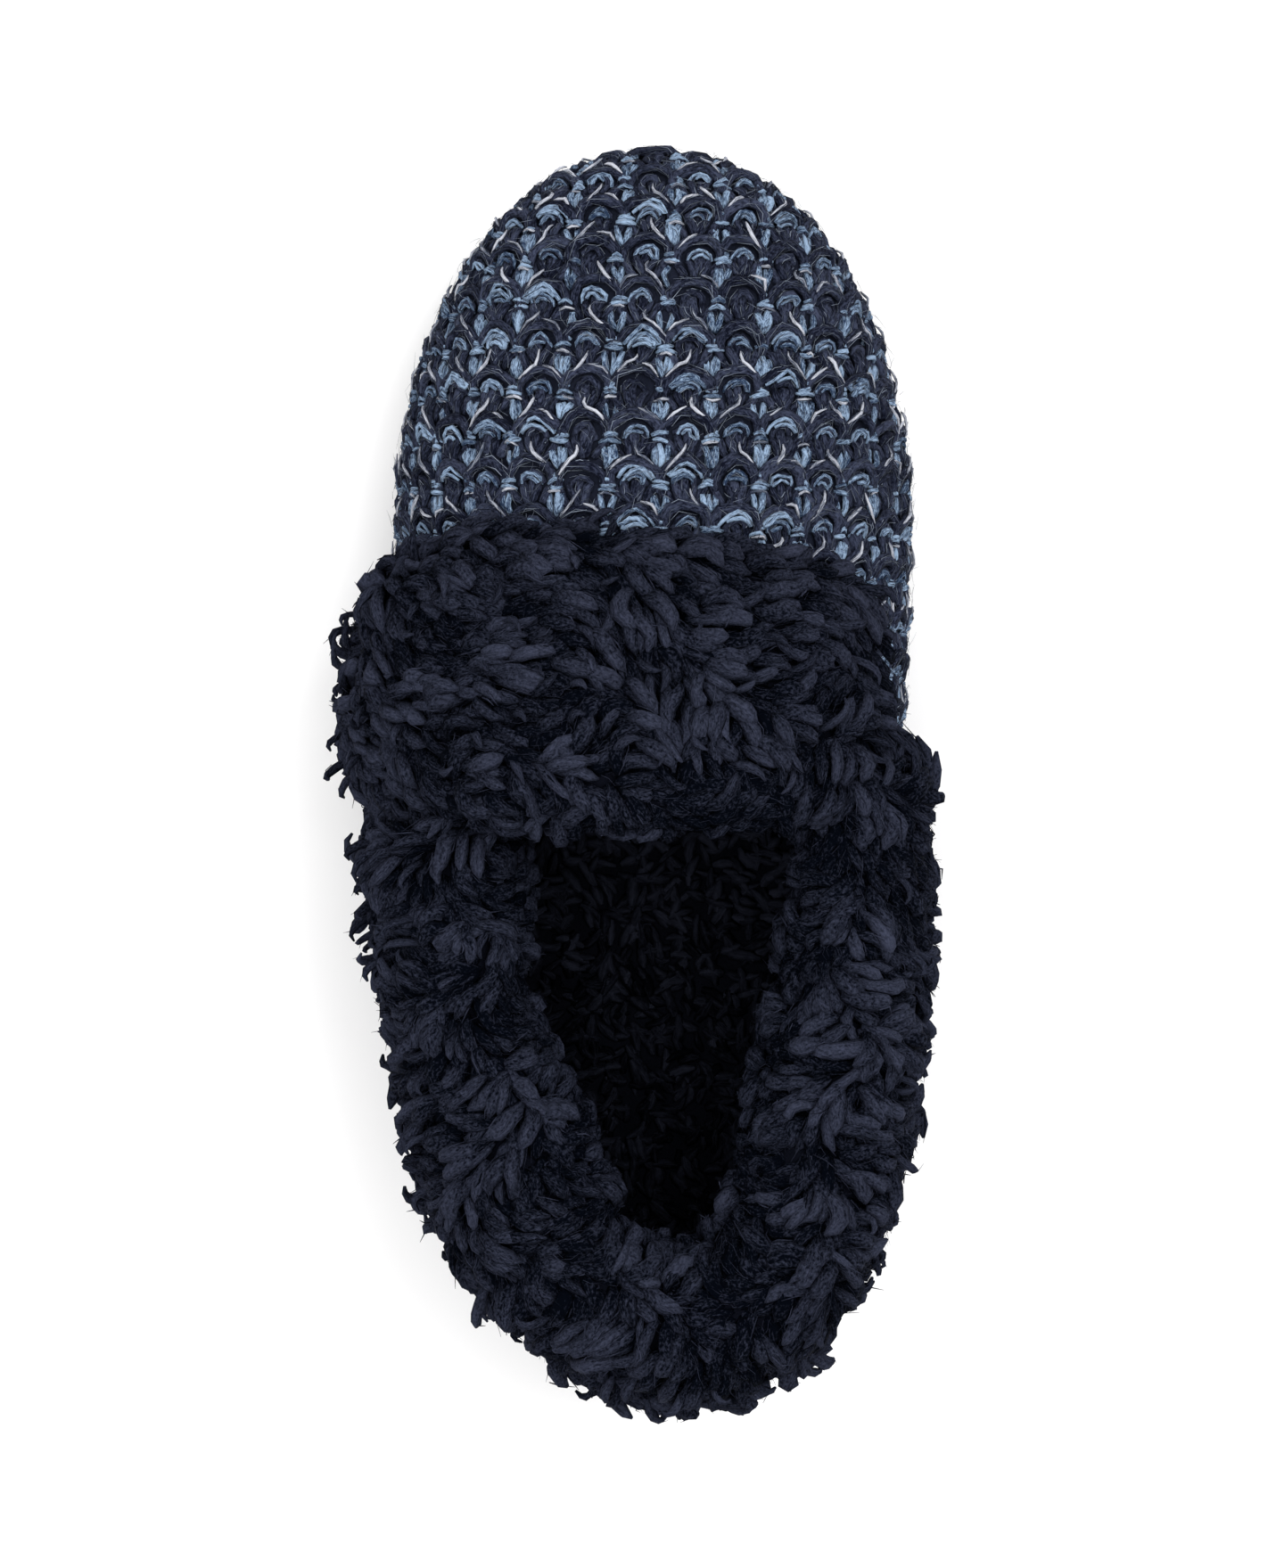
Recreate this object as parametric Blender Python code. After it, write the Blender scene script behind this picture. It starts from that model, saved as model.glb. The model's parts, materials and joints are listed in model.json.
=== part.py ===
"""Knitted house slipper with a deep-pile fold-over cuff: a right shoe, toe towards +Y.

Each object is a piece that a maker would put together: a moulded outsole, a fleece-topped insole, a
knitted upper, a pile cuff turned down round the collar and a pile cuff folded forward over the vamp.
All sizes are metres. Every piece is read off one form, the last, which form_point describes.
"""

import math
import random
from typing import NamedTuple

import bmesh
import bpy
from mathutils import Vector

# Lengths of the last, from the middle of the finished shoe
TOE_TIP_Y = 0.1395
HEEL_END_Y = -0.1165
TOE_BREAK_Y = 0.0540
TOE_SLOPE_Y = 0.0680
HEEL_BREAK_Y = -0.0700
TOE_POWER = 2.14
TOE_SLOPE_POWER = 2.30
HEEL_POWER = 2.20

# Wall, and the clearance between pieces that meet
WALL = 0.0030
GAP = 0.0003
WIDEST_UP = 0.0150
TURN_UNDER = math.radians(30)
SIDE_TUCK = 0.075
END_TUCK = 0.0040

# Collar: the line where the knit stops, round the foot and across the throat
THROAT_Y = -0.0030
COLLAR_SIDE_Z = 0.0690
COLLAR_HEEL_Z = 0.0770
COLLAR_LOW_Y = -0.0450
ABOVE_ALL_Z = 0.1600

# Outsole
HEEL_THICKNESS = 0.0100
FOREPART_THICKNESS = 0.0080
TOE_SPRING = 0.0060
SPRING_START_Y = 0.0780
ARCH_RISE = 0.0025
ARCH_BACK_Y = -0.0470
ARCH_FRONT_Y = 0.0170
SOLE_OVERHANG = 0.0006
HEEL_ROLL = 0.0012
HEEL_ROLL_Y = -0.1020

# Insole
INSOLE_THICKNESS = 0.0060
INSOLE_CLEARANCE = 0.0005

# Pile cuffs
COLLAR_CUFF_RIGHT_END_Y = 0.0020
COLLAR_CUFF_LEFT_END_Y = -0.0100
VAMP_CUFF_LEFT_END = math.radians(-99)
VAMP_CUFF_RIGHT_END = math.radians(52)
VAMP_RADIUS = 0.0450
LOCK_LENGTH = 0.0062
LOCK_TIP_SHARE = 0.38
LOCK_LEAN = 0.0032
LOCK_SEED = 7

# How finely the forms are divided
STATION_STEPS = 34
GIRTH_STEP = math.radians(12)
COLLAR_STEPS = 44
VAMP_CUFF_STEPS = 15


class Section(NamedTuple):
    """A cross-section of the last: its station, half width, centre line and ridge."""

    y: float
    half_width: float
    middle_x: float
    ridge_z: float
    ridge_x: float


class Fold(NamedTuple):
    """A corner of a cuff's profile: its distance along or down the wall, and out of it."""

    along: float
    out: float


class Lie(NamedTuple):
    """How a cuff lies at a share of its run: how full it is outside and inside, and how far it reaches."""

    share: float
    fullness: float
    inner: float = 1.0
    reach: float = 1.0


class SoleEdge(NamedTuple):
    """A level of the outsole's side: how far it stands in, and its share of the thickness."""

    inset: float
    share: float


SECTIONS = (
    Section(y=-0.1165, half_width=0.0405, middle_x=0.0042, ridge_z=0.1180, ridge_x=0.0042),
    Section(y=-0.0800, half_width=0.0435, middle_x=0.0030, ridge_z=0.1150, ridge_x=0.0028),
    Section(y=-0.0400, half_width=0.0480, middle_x=0.0010, ridge_z=0.1050, ridge_x=0.0000),
    Section(y=0.0000, half_width=0.0532, middle_x=-0.0004, ridge_z=0.0930, ridge_x=-0.0030),
    Section(y=0.0300, half_width=0.0558, middle_x=-0.0010, ridge_z=0.0835, ridge_x=-0.0050),
    Section(y=0.0600, half_width=0.0568, middle_x=-0.0010, ridge_z=0.0745, ridge_x=-0.0055),
    Section(y=0.0950, half_width=0.0565, middle_x=-0.0008, ridge_z=0.0660, ridge_x=-0.0045),
    Section(y=0.1395, half_width=0.0560, middle_x=-0.0006, ridge_z=0.0600, ridge_x=-0.0020),
)

SOLE_SIDE = (
    SoleEdge(inset=0.0034, share=0.00),
    SoleEdge(inset=0.0012, share=0.10),
    SoleEdge(inset=0.0000, share=0.34),
    SoleEdge(inset=0.0000, share=0.88),
    SoleEdge(inset=0.0006, share=1.00),
)

# The turned-down cuff, from its hem inside the shoe, over the collar, to its hem outside.
# along is the height above the collar line, out the distance out from the wall's middle.
COLLAR_CUFF_PROFILE = (
    Fold(along=-0.0190, out=-0.0010),
    Fold(along=-0.0200, out=-0.0085),
    Fold(along=-0.0110, out=-0.0130),
    Fold(along=0.0000, out=-0.0125),
    Fold(along=0.0085, out=-0.0085),
    Fold(along=0.0125, out=0.0000),
    Fold(along=0.0095, out=0.0090),
    Fold(along=0.0020, out=0.0150),
    Fold(along=-0.0080, out=0.0180),
    Fold(along=-0.0190, out=0.0187),
    Fold(along=-0.0290, out=0.0183),
    Fold(along=-0.0360, out=0.0150),
    Fold(along=-0.0370, out=0.0090),
)

# How full the turned-down cuff lies, from its left front round the heel to its right front.
COLLAR_CUFF_LIE = (
    Lie(share=0.00, fullness=1.05, inner=0.60),
    Lie(share=0.07, fullness=1.01, inner=0.60),
    Lie(share=0.14, fullness=0.97, inner=0.40),
    Lie(share=0.20, fullness=0.95, inner=0.75),
    Lie(share=0.25, fullness=0.93, inner=1.30),
    Lie(share=0.32, fullness=0.88, inner=1.12),
    Lie(share=0.40, fullness=0.70, inner=1.00),
    Lie(share=0.49, fullness=0.92, inner=1.00),
    Lie(share=0.58, fullness=0.70, inner=1.08),
    Lie(share=0.66, fullness=0.66, inner=1.30),
    Lie(share=0.75, fullness=0.66, inner=1.22),
    Lie(share=0.80, fullness=0.75, inner=0.95),
    Lie(share=0.86, fullness=0.84, inner=0.72),
    Lie(share=0.93, fullness=0.88, inner=0.47),
    Lie(share=1.00, fullness=0.92, inner=0.45),
)

# The cuff folded over the vamp, from its hem under the throat, round the throat's edge, to its front
# hem. along is the distance forward of the throat, out the distance out of the knit's face.
VAMP_CUFF_PROFILE = (
    Fold(along=0.0130, out=-0.0040),
    Fold(along=0.0110, out=-0.0085),
    Fold(along=0.0040, out=-0.0100),
    Fold(along=-0.0015, out=-0.0070),
    Fold(along=-0.0048, out=0.0000),
    Fold(along=-0.0035, out=0.0075),
    Fold(along=0.0015, out=0.0125),
    Fold(along=0.0080, out=0.0140),
    Fold(along=0.0180, out=0.0142),
    Fold(along=0.0290, out=0.0140),
    Fold(along=0.0400, out=0.0130),
    Fold(along=0.0490, out=0.0105),
    Fold(along=0.0540, out=0.0060),
    Fold(along=0.0545, out=0.0010),
    Fold(along=0.0500, out=-0.0015),
    Fold(along=0.0200, out=-0.0015),
)

# How the folded cuff lies from its left side, where its front hem sweeps back, to its right side.
VAMP_CUFF_LIE = (
    Lie(share=0.00, fullness=0.55, reach=0.62),
    Lie(share=0.08, fullness=0.72, reach=0.69),
    Lie(share=0.16, fullness=0.82, reach=0.79),
    Lie(share=0.25, fullness=0.91, reach=0.90),
    Lie(share=0.40, fullness=0.98, reach=0.99),
    Lie(share=0.60, fullness=0.98, reach=0.99),
    Lie(share=0.75, fullness=0.91, reach=0.95),
    Lie(share=0.90, fullness=0.74, reach=0.87),
    Lie(share=1.00, fullness=0.55, reach=0.79),
)

FINISHES = {
    "outsole": ((0.022, 0.023, 0.028, 1.0), 0.62),
    "insole": ((0.012, 0.013, 0.020, 1.0), 0.95),
    "upper": ((0.040, 0.052, 0.085, 1.0), 0.90),
    "collar_cuff": ((0.016, 0.017, 0.026, 1.0), 0.95),
    "vamp_cuff": ((0.016, 0.017, 0.026, 1.0), 0.95),
}


def share_of(value, start, end):
    """How far value lies from start to end, from 0 to 1."""
    return min(1.0, max(0.0, (value - start) / (end - start)))


def eased(share):
    """A share that starts and ends gently."""
    return share * share * (3.0 - 2.0 * share)


def closing(value, start, tip, power):
    """What is left of a size as a form closes from start to a round end at tip."""
    return (1.0 - share_of(value, start, tip) ** power) ** (1.0 / power)


def lie_at(table, share):
    """How a cuff lies at a share of its run, read between the rows of its table."""
    far = next(index for index, row in enumerate(table) if index and share <= row.share)
    t = share_of(share, table[far - 1].share, table[far].share)
    return Lie(*(near + (there - near) * t for near, there in zip(table[far - 1], table[far])))


def section_at(y):
    """The cross-section at y, on a smooth curve through the rows of the table."""
    last = len(SECTIONS) - 1
    index = min(last - 1, max(0, sum(row.y <= y for row in SECTIONS) - 1))
    before, near, far, after = (SECTIONS[min(last, max(0, index + step))] for step in (-1, 0, 1, 2))
    span = far.y - near.y
    t = share_of(y, near.y, far.y)
    sizes = []
    for a, b, c, d in zip(before, near, far, after):
        leaving = (c - a) / (far.y - before.y) * span
        arriving = (d - b) / (after.y - near.y) * span
        sizes.append(
            (2 * t**3 - 3 * t**2 + 1) * b
            + (t**3 - 2 * t**2 + t) * leaving
            + (3 * t**2 - 2 * t**3) * c
            + (t**3 - t**2) * arriving
        )
    return Section(*sizes)


def sole_bottom_z(y):
    """Underside of the outsole: flat at heel and ball, raised at the waist, toe and heel's edge."""
    spring = TOE_SPRING * share_of(y, SPRING_START_Y, TOE_TIP_Y) ** 2
    arch = ARCH_RISE * math.sin(math.pi * share_of(y, ARCH_BACK_Y, ARCH_FRONT_Y)) ** 2
    return spring + arch + HEEL_ROLL * share_of(-y, -HEEL_ROLL_Y, -HEEL_END_Y) ** 2


def sole_top_z(y):
    """Top of the outsole, which the upper and the insole stand on."""
    spring = TOE_SPRING * share_of(y, SPRING_START_Y, TOE_TIP_Y) ** 2
    step_down = eased(share_of(y, ARCH_BACK_Y, ARCH_FRONT_Y))
    return spring + HEEL_THICKNESS + (FOREPART_THICKNESS - HEEL_THICKNESS) * step_down


def feather_y(y):
    """Where the foot of the wall lies along the shoe: it is drawn in at both ends."""
    toe = share_of(y, TOE_BREAK_Y, TOE_TIP_Y) ** 2
    heel = share_of(-y, -HEEL_BREAK_Y, -HEEL_END_Y) ** 2
    return y + END_TUCK * (heel - toe)


def form_point(y, angle, out=0.0):
    """A point of the last's surface, moved out by out, at station y and at an angle round the girth.

    The ridge is at 0 and the widest lines are at plus and minus 90 degrees. Below those the wall
    turns in, and reaches the feather edge, where it meets the sole, TURN_UNDER further on.
    """
    row = section_at(y)
    round_end = closing(y, TOE_BREAK_Y, TOE_TIP_Y + out, TOE_POWER)
    round_end *= closing(-y, -HEEL_BREAK_Y, -HEEL_END_Y + out, HEEL_POWER)
    half = math.copysign((row.half_width + out) * round_end, angle)
    foot_y = feather_y(y)
    foot_z = sole_top_z(foot_y) + GAP
    widest_z = foot_z + WIDEST_UP
    crown = (row.ridge_z + out - widest_z) * closing(y, TOE_SLOPE_Y, TOE_TIP_Y + out, TOE_SLOPE_POWER)
    turn = abs(angle)
    if turn <= math.pi / 2:
        rise = math.cos(turn)
        lean = (row.ridge_x - row.middle_x) * round_end * rise**2
        return Vector((row.middle_x + half * math.sin(turn) + lean, y, widest_z + crown * rise))
    drop = (turn - math.pi / 2) / TURN_UNDER
    x = row.middle_x + half * (1.0 - SIDE_TUCK * drop**2)
    return Vector((x, y + (foot_y - y) * drop**2, widest_z - WIDEST_UP * drop))


def angle_at_height(y, z, out=0.0):
    """The girth angle at which the wall of station y reaches height z, above its widest line."""
    ridge_z = form_point(y, 0.0, out).z
    widest_z = form_point(y, math.pi / 2, out).z
    return math.acos(share_of(z, widest_z, ridge_z))


def collar_z(y):
    """Height of the collar line at y: lowest beside the ankle, higher at the heel."""
    return COLLAR_SIDE_Z + (COLLAR_HEEL_Z - COLLAR_SIDE_Z) * eased(share_of(y, COLLAR_LOW_Y, HEEL_END_Y))


def stations(out=0.0, steps=STATION_STEPS):
    """Places along the form from heel to toe, closest at its two round ends."""
    heel, toe = HEEL_END_Y - out, TOE_TIP_Y + out
    middle, reach = (heel + toe) / 2, (toe - heel) / 2
    return [middle - reach * math.cos(math.pi * step / steps) for step in range(steps + 1)]


def face_outwards(bm):
    """Turns all the faces of a closed form outwards."""
    bmesh.ops.recalc_face_normals(bm, faces=bm.faces)
    if bm.calc_volume(signed=True) < 0.0:
        bmesh.ops.reverse_faces(bm, faces=bm.faces)


def mesh_object(name, bm):
    """An object that holds bm, with doubled points merged and its faces turned outwards."""
    bmesh.ops.remove_doubles(bm, verts=bm.verts, dist=1e-6)
    bmesh.ops.dissolve_degenerate(bm, edges=bm.edges, dist=1e-7)
    face_outwards(bm)
    mesh = bpy.data.meshes.new(name)
    bm.to_mesh(mesh)
    bm.free()
    obj = bpy.data.objects.new(name, mesh)
    bpy.context.scene.collection.objects.link(obj)
    return obj


def loft(rings, capped=False):
    """A tube drawn from one closed ring of points to the next, by extruding the ring's edges.

    Returns the mesh and its points, a list for each ring.
    """
    bm = bmesh.new()
    grid = [[bm.verts.new(point) for point in rings[0]]]
    edges = [bm.edges.new(pair) for pair in zip(grid[0], grid[0][1:] + grid[0][:1])]
    for ring in rings[1:]:
        grown = bmesh.ops.extrude_edge_only(bm, edges=edges)["geom"]
        new_verts = {item for item in grown if isinstance(item, bmesh.types.BMVert)}
        edges = [item for item in grown if isinstance(item, bmesh.types.BMEdge)]
        row = []
        for vert, point in zip(grid[-1], ring):
            above = (edge.other_vert(vert) for edge in vert.link_edges)
            row.append(next(other for other in above if other in new_verts))
            row[-1].co = point
        grid.append(row)
    if capped:
        bm.faces.new(grid[0])
        bm.faces.new(grid[-1])
    return bm, grid


def girth_angles():
    """Angles from the left feather edge over the ridge to the right one."""
    end = math.pi / 2 + TURN_UNDER
    count = round(2 * end / GIRTH_STEP)
    return [-end + 2 * end * step / count for step in range(count + 1)]


def form_solid(name, out, skirt=0.0):
    """The last as a closed solid, moved out by out, with a skirt below its feather edge."""
    rings = []
    for y in stations(out):
        ring = [form_point(y, angle, out) for angle in girth_angles()]
        if skirt:
            drop = Vector((0.0, 0.0, skirt))
            ring = [ring[0] - drop] + ring + [ring[-1] - drop]
        rings.append(ring)
    return mesh_object(name, loft(rings)[0])


def above_collar(name, lift=0.0):
    """Everything above the collar line and behind the throat, with the line moved up by lift."""
    half_span = 0.1
    steps = 14
    back_y = HEEL_END_Y - 0.02
    front_y = THROAT_Y - lift
    line = [(y, collar_z(y) + lift) for y in (back_y + (front_y - back_y) * i / steps for i in range(steps + 1))]
    side = line + [(front_y, ABOVE_ALL_Z), (back_y, ABOVE_ALL_Z)]
    rings = [[Vector((x, y, z)) for y, z in side] for x in (-half_span, half_span)]
    return mesh_object(name, loft(rings, capped=True)[0])


def as_helper(obj):
    """Marks obj as a form that only cuts other pieces."""
    obj.hide_render = True
    obj.display_type = "WIRE"
    return obj


def cut_away(obj, *cutters):
    """Cuts each cutter out of obj."""
    for cutter in cutters:
        modifier = obj.modifiers.new(f"less_{cutter.name}", "BOOLEAN")
        modifier.operation = "DIFFERENCE"
        modifier.object = cutter
    return obj


def make_upper():
    """The knitted upper: a hollow wall, open underneath, at the collar and across the throat."""
    inside = as_helper(form_solid("upper_inside", -WALL, skirt=0.02))
    return cut_away(form_solid("upper", 0.0), inside, as_helper(above_collar("collar_opening")))


def make_wall_room():
    """The upper's wall with clearance all round: the room that the cuffs leave for it."""
    inside = as_helper(form_solid("wall_room_inside", -WALL - GAP, skirt=0.02))
    opening = as_helper(above_collar("wall_room_opening", lift=GAP))
    return as_helper(cut_away(form_solid("wall_room", GAP, skirt=0.002), inside, opening))


def feather_point(step, side, out):
    """A point of the outline at the foot of the wall, on one side (-1 or 1) of a station."""
    y = stations(out)[step]
    return form_point(y, side * (math.pi / 2 + TURN_UNDER), out)


def make_outsole():
    """The moulded outsole, its side rounded at the ground and straight above."""
    rings = []
    for step in range(STATION_STEPS + 1):
        half_rings = []
        for side in (-1, 1):
            half = []
            for level in SOLE_SIDE:
                point = feather_point(step, side, SOLE_OVERHANG - level.inset)
                low, high = sole_bottom_z(point.y), sole_top_z(point.y)
                half.append(Vector((point.x, point.y, low + (high - low) * level.share)))
            half_rings.append(half)
        left, right = half_rings
        rings.append(left + right[::-1])
    return mesh_object("outsole", loft(rings)[0])


def make_insole():
    """The insole, which lies on the outsole inside the foot of the wall."""
    levels = ((0.0, 0.0), (0.0, 0.6), (0.0020, 1.0))
    rings = []
    for step in range(STATION_STEPS + 1):
        half_rings = []
        for side in (-1, 1):
            half = []
            for inset, share in levels:
                point = feather_point(step, side, -WALL - INSOLE_CLEARANCE - inset)
                half.append(Vector((point.x, point.y, sole_top_z(point.y) + GAP + INSOLE_THICKNESS * share)))
            half_rings.append(half)
        left, right = half_rings
        rings.append(left + right[::-1])
    return mesh_object("insole", loft(rings)[0])


def collar_path():
    """Points of the collar line, from the left front round the heel to the right front."""
    heel_y = HEEL_END_Y + WALL / 2
    points = []
    for step in range(COLLAR_STEPS + 1):
        along = 2.0 * step / COLLAR_STEPS - 1.0
        end_y = COLLAR_CUFF_LEFT_END_Y if along < 0 else COLLAR_CUFF_RIGHT_END_Y
        y = heel_y + (end_y - heel_y) * abs(along) ** 1.75
        angle = math.copysign(angle_at_height(y, collar_z(y), -WALL / 2), along)
        points.append(form_point(y, angle, -WALL / 2))
    return points


def collar_cuff_rings():
    """The turned-down cuff's profile set square to the collar line, as full as it lies at each place."""
    path = collar_path()
    length = sum((far - near).length for near, far in zip(path, path[1:]))
    travelled = 0.0
    rings = []
    for step, point in enumerate(path):
        before, after = path[max(step - 1, 0)], path[min(step + 1, COLLAR_STEPS)]
        travelled += (point - before).length
        lie = lie_at(COLLAR_CUFF_LIE, min(1.0, travelled / length))
        outward = Vector((after.y - before.y, before.x - after.x, 0.0)).normalized()
        ring = []
        for fold in COLLAR_CUFF_PROFILE:
            out = fold.out * (lie.fullness if fold.out > 0 else lie.inner)
            ring.append(point + outward * out + Vector((0.0, 0.0, fold.along)))
        rings.append(ring)
    return rings


def vamp_cuff_rings(grow=0.0):
    """The folded cuff's profile at angles across the vamp, drawn in at its two rounded sides.

    With grow, every side of the cuff is that much larger.
    """
    rings = []
    for step in range(VAMP_CUFF_STEPS + 1):
        across = step / VAMP_CUFF_STEPS
        angle = VAMP_CUFF_LEFT_END + (VAMP_CUFF_RIGHT_END - VAMP_CUFF_LEFT_END) * across
        if step in (0, VAMP_CUFF_STEPS):
            angle += math.copysign(grow / VAMP_RADIUS, across - 0.5)
        lie = lie_at(VAMP_CUFF_LIE, across)
        ring = []
        for fold in VAMP_CUFF_PROFILE:
            out = fold.out * (lie.fullness if fold.out > 0 else lie.inner)
            along = fold.along * lie.reach + grow if fold.along > 0 else fold.along - grow
            ring.append(form_point(THROAT_Y + along, angle, out + math.copysign(grow, out)))
        rings.append(ring)
    return rings


def grow_lock(bm, patch, draws):
    """Draws one patch of a cuff's face out into a tapered lock of pile that leans its own way."""
    run = (patch[1].co - patch[0].co).normalized()
    face = bmesh.ops.extrude_discrete_faces(bm, faces=[bm.faces.get(patch)])["faces"][0]
    face.normal_update()
    centre = face.calc_center_median()
    lean = run * draws.uniform(-1, 1) + face.normal.cross(run) * draws.uniform(-1, 1)
    tip = centre + face.normal * LOCK_LENGTH * draws.uniform(0.6, 1.15) + lean * LOCK_LEAN
    for vert in face.verts:
        vert.co = tip + (vert.co - centre) * LOCK_TIP_SHARE


def pile_cuff(name, rings, has_pile):
    """A cuff of pile: its rolled form, with a lock fused on each patch that has_pile(row, fold) picks."""
    bm, grid = loft(rings, capped=True)
    face_outwards(bm)
    draws = random.Random(LOCK_SEED)
    for row in range(len(rings) - 1):
        for fold in range(len(rings[0]) - 1):
            if (row + fold) % 2 and has_pile(row, fold):
                near, far = grid[row], grid[row + 1]
                grow_lock(bm, [near[fold], near[fold + 1], far[fold + 1], far[fold]], draws)
    return mesh_object(name, bm)


def collar_has_pile(row, fold):
    """Pile all over the turned-down cuff but for its hems and the ends that the vamp cuff covers."""
    if row >= COLLAR_STEPS - 3:
        return 8 <= fold <= 10
    return 1 <= row and 1 <= fold <= 10


def vamp_has_pile(row, fold):
    """Pile on the folded cuff's face, and on its roll where the roll crosses the mouth."""
    over_mouth = 7 <= row <= 11
    return 1 <= row < VAMP_CUFF_STEPS - 1 and (7 <= fold <= 11 or (over_mouth and 3 <= fold <= 6))


def make_cuffs(wall_room):
    """The two pile cuffs, each cut to the room that the wall and the other cuff leave it."""
    vamp_room = as_helper(mesh_object("vamp_cuff_room", loft(vamp_cuff_rings(grow=GAP), capped=True)[0]))
    collar = pile_cuff("collar_cuff", collar_cuff_rings(), collar_has_pile)
    vamp = pile_cuff("vamp_cuff", vamp_cuff_rings(), vamp_has_pile)
    return [cut_away(collar, wall_room, vamp_room), cut_away(vamp, wall_room)]


def finish(obj):
    """Gives obj its own material and smooth shading over its rounded faces."""
    colour, roughness = FINISHES[obj.name]
    material = bpy.data.materials.new(obj.name)
    material.use_nodes = True
    shader = material.node_tree.nodes["Principled BSDF"]
    shader.inputs["Base Color"].default_value = colour
    shader.inputs["Roughness"].default_value = roughness
    shader.inputs["Metallic"].default_value = 0.0
    obj.data.materials.append(material)
    obj.data.shade_smooth()
    obj.data.set_sharp_from_angle(angle=math.radians(40))


def stand_over_origin(pieces):
    """Parents everything to one empty, set so that the shoe's box stands centred on the origin."""
    base = bpy.data.objects.new("slipper", None)
    bpy.context.scene.collection.objects.link(base)
    for obj in bpy.data.objects:
        if obj is not base:
            obj.parent = base
    bpy.context.view_layer.update()
    graph = bpy.context.evaluated_depsgraph_get()
    corners = [Vector(corner) for piece in pieces for corner in piece.evaluated_get(graph).bound_box]
    for axis in (0, 1):
        values = [corner[axis] for corner in corners]
        base.location[axis] = -(min(values) + max(values)) / 2


def main():
    for obj in list(bpy.data.objects):
        bpy.data.objects.remove(obj)
    pieces = [make_outsole(), make_insole(), make_upper()]
    pieces += make_cuffs(make_wall_room())
    for piece in pieces:
        finish(piece)
    stand_over_origin(pieces)


main()
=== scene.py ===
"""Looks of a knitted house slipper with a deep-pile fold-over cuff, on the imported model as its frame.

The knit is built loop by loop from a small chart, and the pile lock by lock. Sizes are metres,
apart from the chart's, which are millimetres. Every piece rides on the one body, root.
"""

import json
import logging
import math
from collections.abc import Callable
from dataclasses import dataclass, field
from enum import Enum

import bmesh
import bpy
import numpy as np
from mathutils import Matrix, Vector

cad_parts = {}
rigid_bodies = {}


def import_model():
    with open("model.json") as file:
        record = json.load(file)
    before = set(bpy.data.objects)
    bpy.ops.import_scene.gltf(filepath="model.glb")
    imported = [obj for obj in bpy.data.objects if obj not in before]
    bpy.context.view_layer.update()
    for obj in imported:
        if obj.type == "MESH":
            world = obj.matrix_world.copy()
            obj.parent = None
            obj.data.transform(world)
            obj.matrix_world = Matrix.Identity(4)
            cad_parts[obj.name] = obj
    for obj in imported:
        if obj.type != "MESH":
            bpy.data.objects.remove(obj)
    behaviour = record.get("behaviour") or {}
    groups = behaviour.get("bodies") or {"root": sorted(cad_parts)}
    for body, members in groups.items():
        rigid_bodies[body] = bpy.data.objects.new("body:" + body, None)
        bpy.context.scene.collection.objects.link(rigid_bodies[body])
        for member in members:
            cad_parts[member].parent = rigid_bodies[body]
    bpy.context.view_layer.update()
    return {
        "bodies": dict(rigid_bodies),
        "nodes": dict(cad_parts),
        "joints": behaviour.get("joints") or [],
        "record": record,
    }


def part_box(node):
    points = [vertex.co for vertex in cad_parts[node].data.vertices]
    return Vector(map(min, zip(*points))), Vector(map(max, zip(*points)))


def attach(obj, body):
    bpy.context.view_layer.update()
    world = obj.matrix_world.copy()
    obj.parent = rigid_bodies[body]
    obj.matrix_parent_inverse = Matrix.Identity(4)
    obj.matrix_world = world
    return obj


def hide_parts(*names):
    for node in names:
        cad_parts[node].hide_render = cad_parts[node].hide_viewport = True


LOG = logging.getLogger("slipper")
MM = 0.001
UP = Vector((0.0, 0.0, 1.0))
WAVE_PERIOD = 0.314  # metres between the bands of Blender's wave texture at a scale of 1

Array = np.ndarray
Draws = np.random.Generator
Triple = tuple[float, float, float]


class Value:
    """A shader socket that takes part in Python expressions, each of which adds a Math node."""

    def __init__(self, sheet: "NodeSheet", socket: bpy.types.NodeSocket) -> None:
        """Keeps the sheet that holds the node and the socket itself."""
        self.sheet = sheet
        self.socket = socket

    def _math(self, operation: str, first: "Value | float", second: "Value | float") -> "Value":
        """Adds one Math node.

        Args:
            operation: the node's operation.
            first: its first value.
            second: its second value.

        Returns:
            The node's result.
        """
        return self.sheet.node("ShaderNodeMath", {"operation": operation}, {0: first, 1: second})

    def __add__(self, other: "Value | float") -> "Value":
        """Adds."""
        return self._math("ADD", self, other)

    def __radd__(self, other: float) -> "Value":
        """Adds, from the right."""
        return self._math("ADD", other, self)

    def __sub__(self, other: "Value | float") -> "Value":
        """Subtracts."""
        return self._math("SUBTRACT", self, other)

    def __rsub__(self, other: float) -> "Value":
        """Subtracts from a number."""
        return self._math("SUBTRACT", other, self)

    def __mul__(self, other: "Value | float") -> "Value":
        """Multiplies."""
        return self._math("MULTIPLY", self, other)

    def __rmul__(self, other: float) -> "Value":
        """Multiplies, from the right."""
        return self._math("MULTIPLY", other, self)

    def __lt__(self, other: "Value | float") -> "Value":
        """One where the value is the smaller, and nought elsewhere."""
        return self._math("LESS_THAN", self, other)

    def clamped(self) -> "Value":
        """The value held between nought and one."""
        return self.sheet.node("ShaderNodeClamp", {}, {"Value": self})


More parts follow.
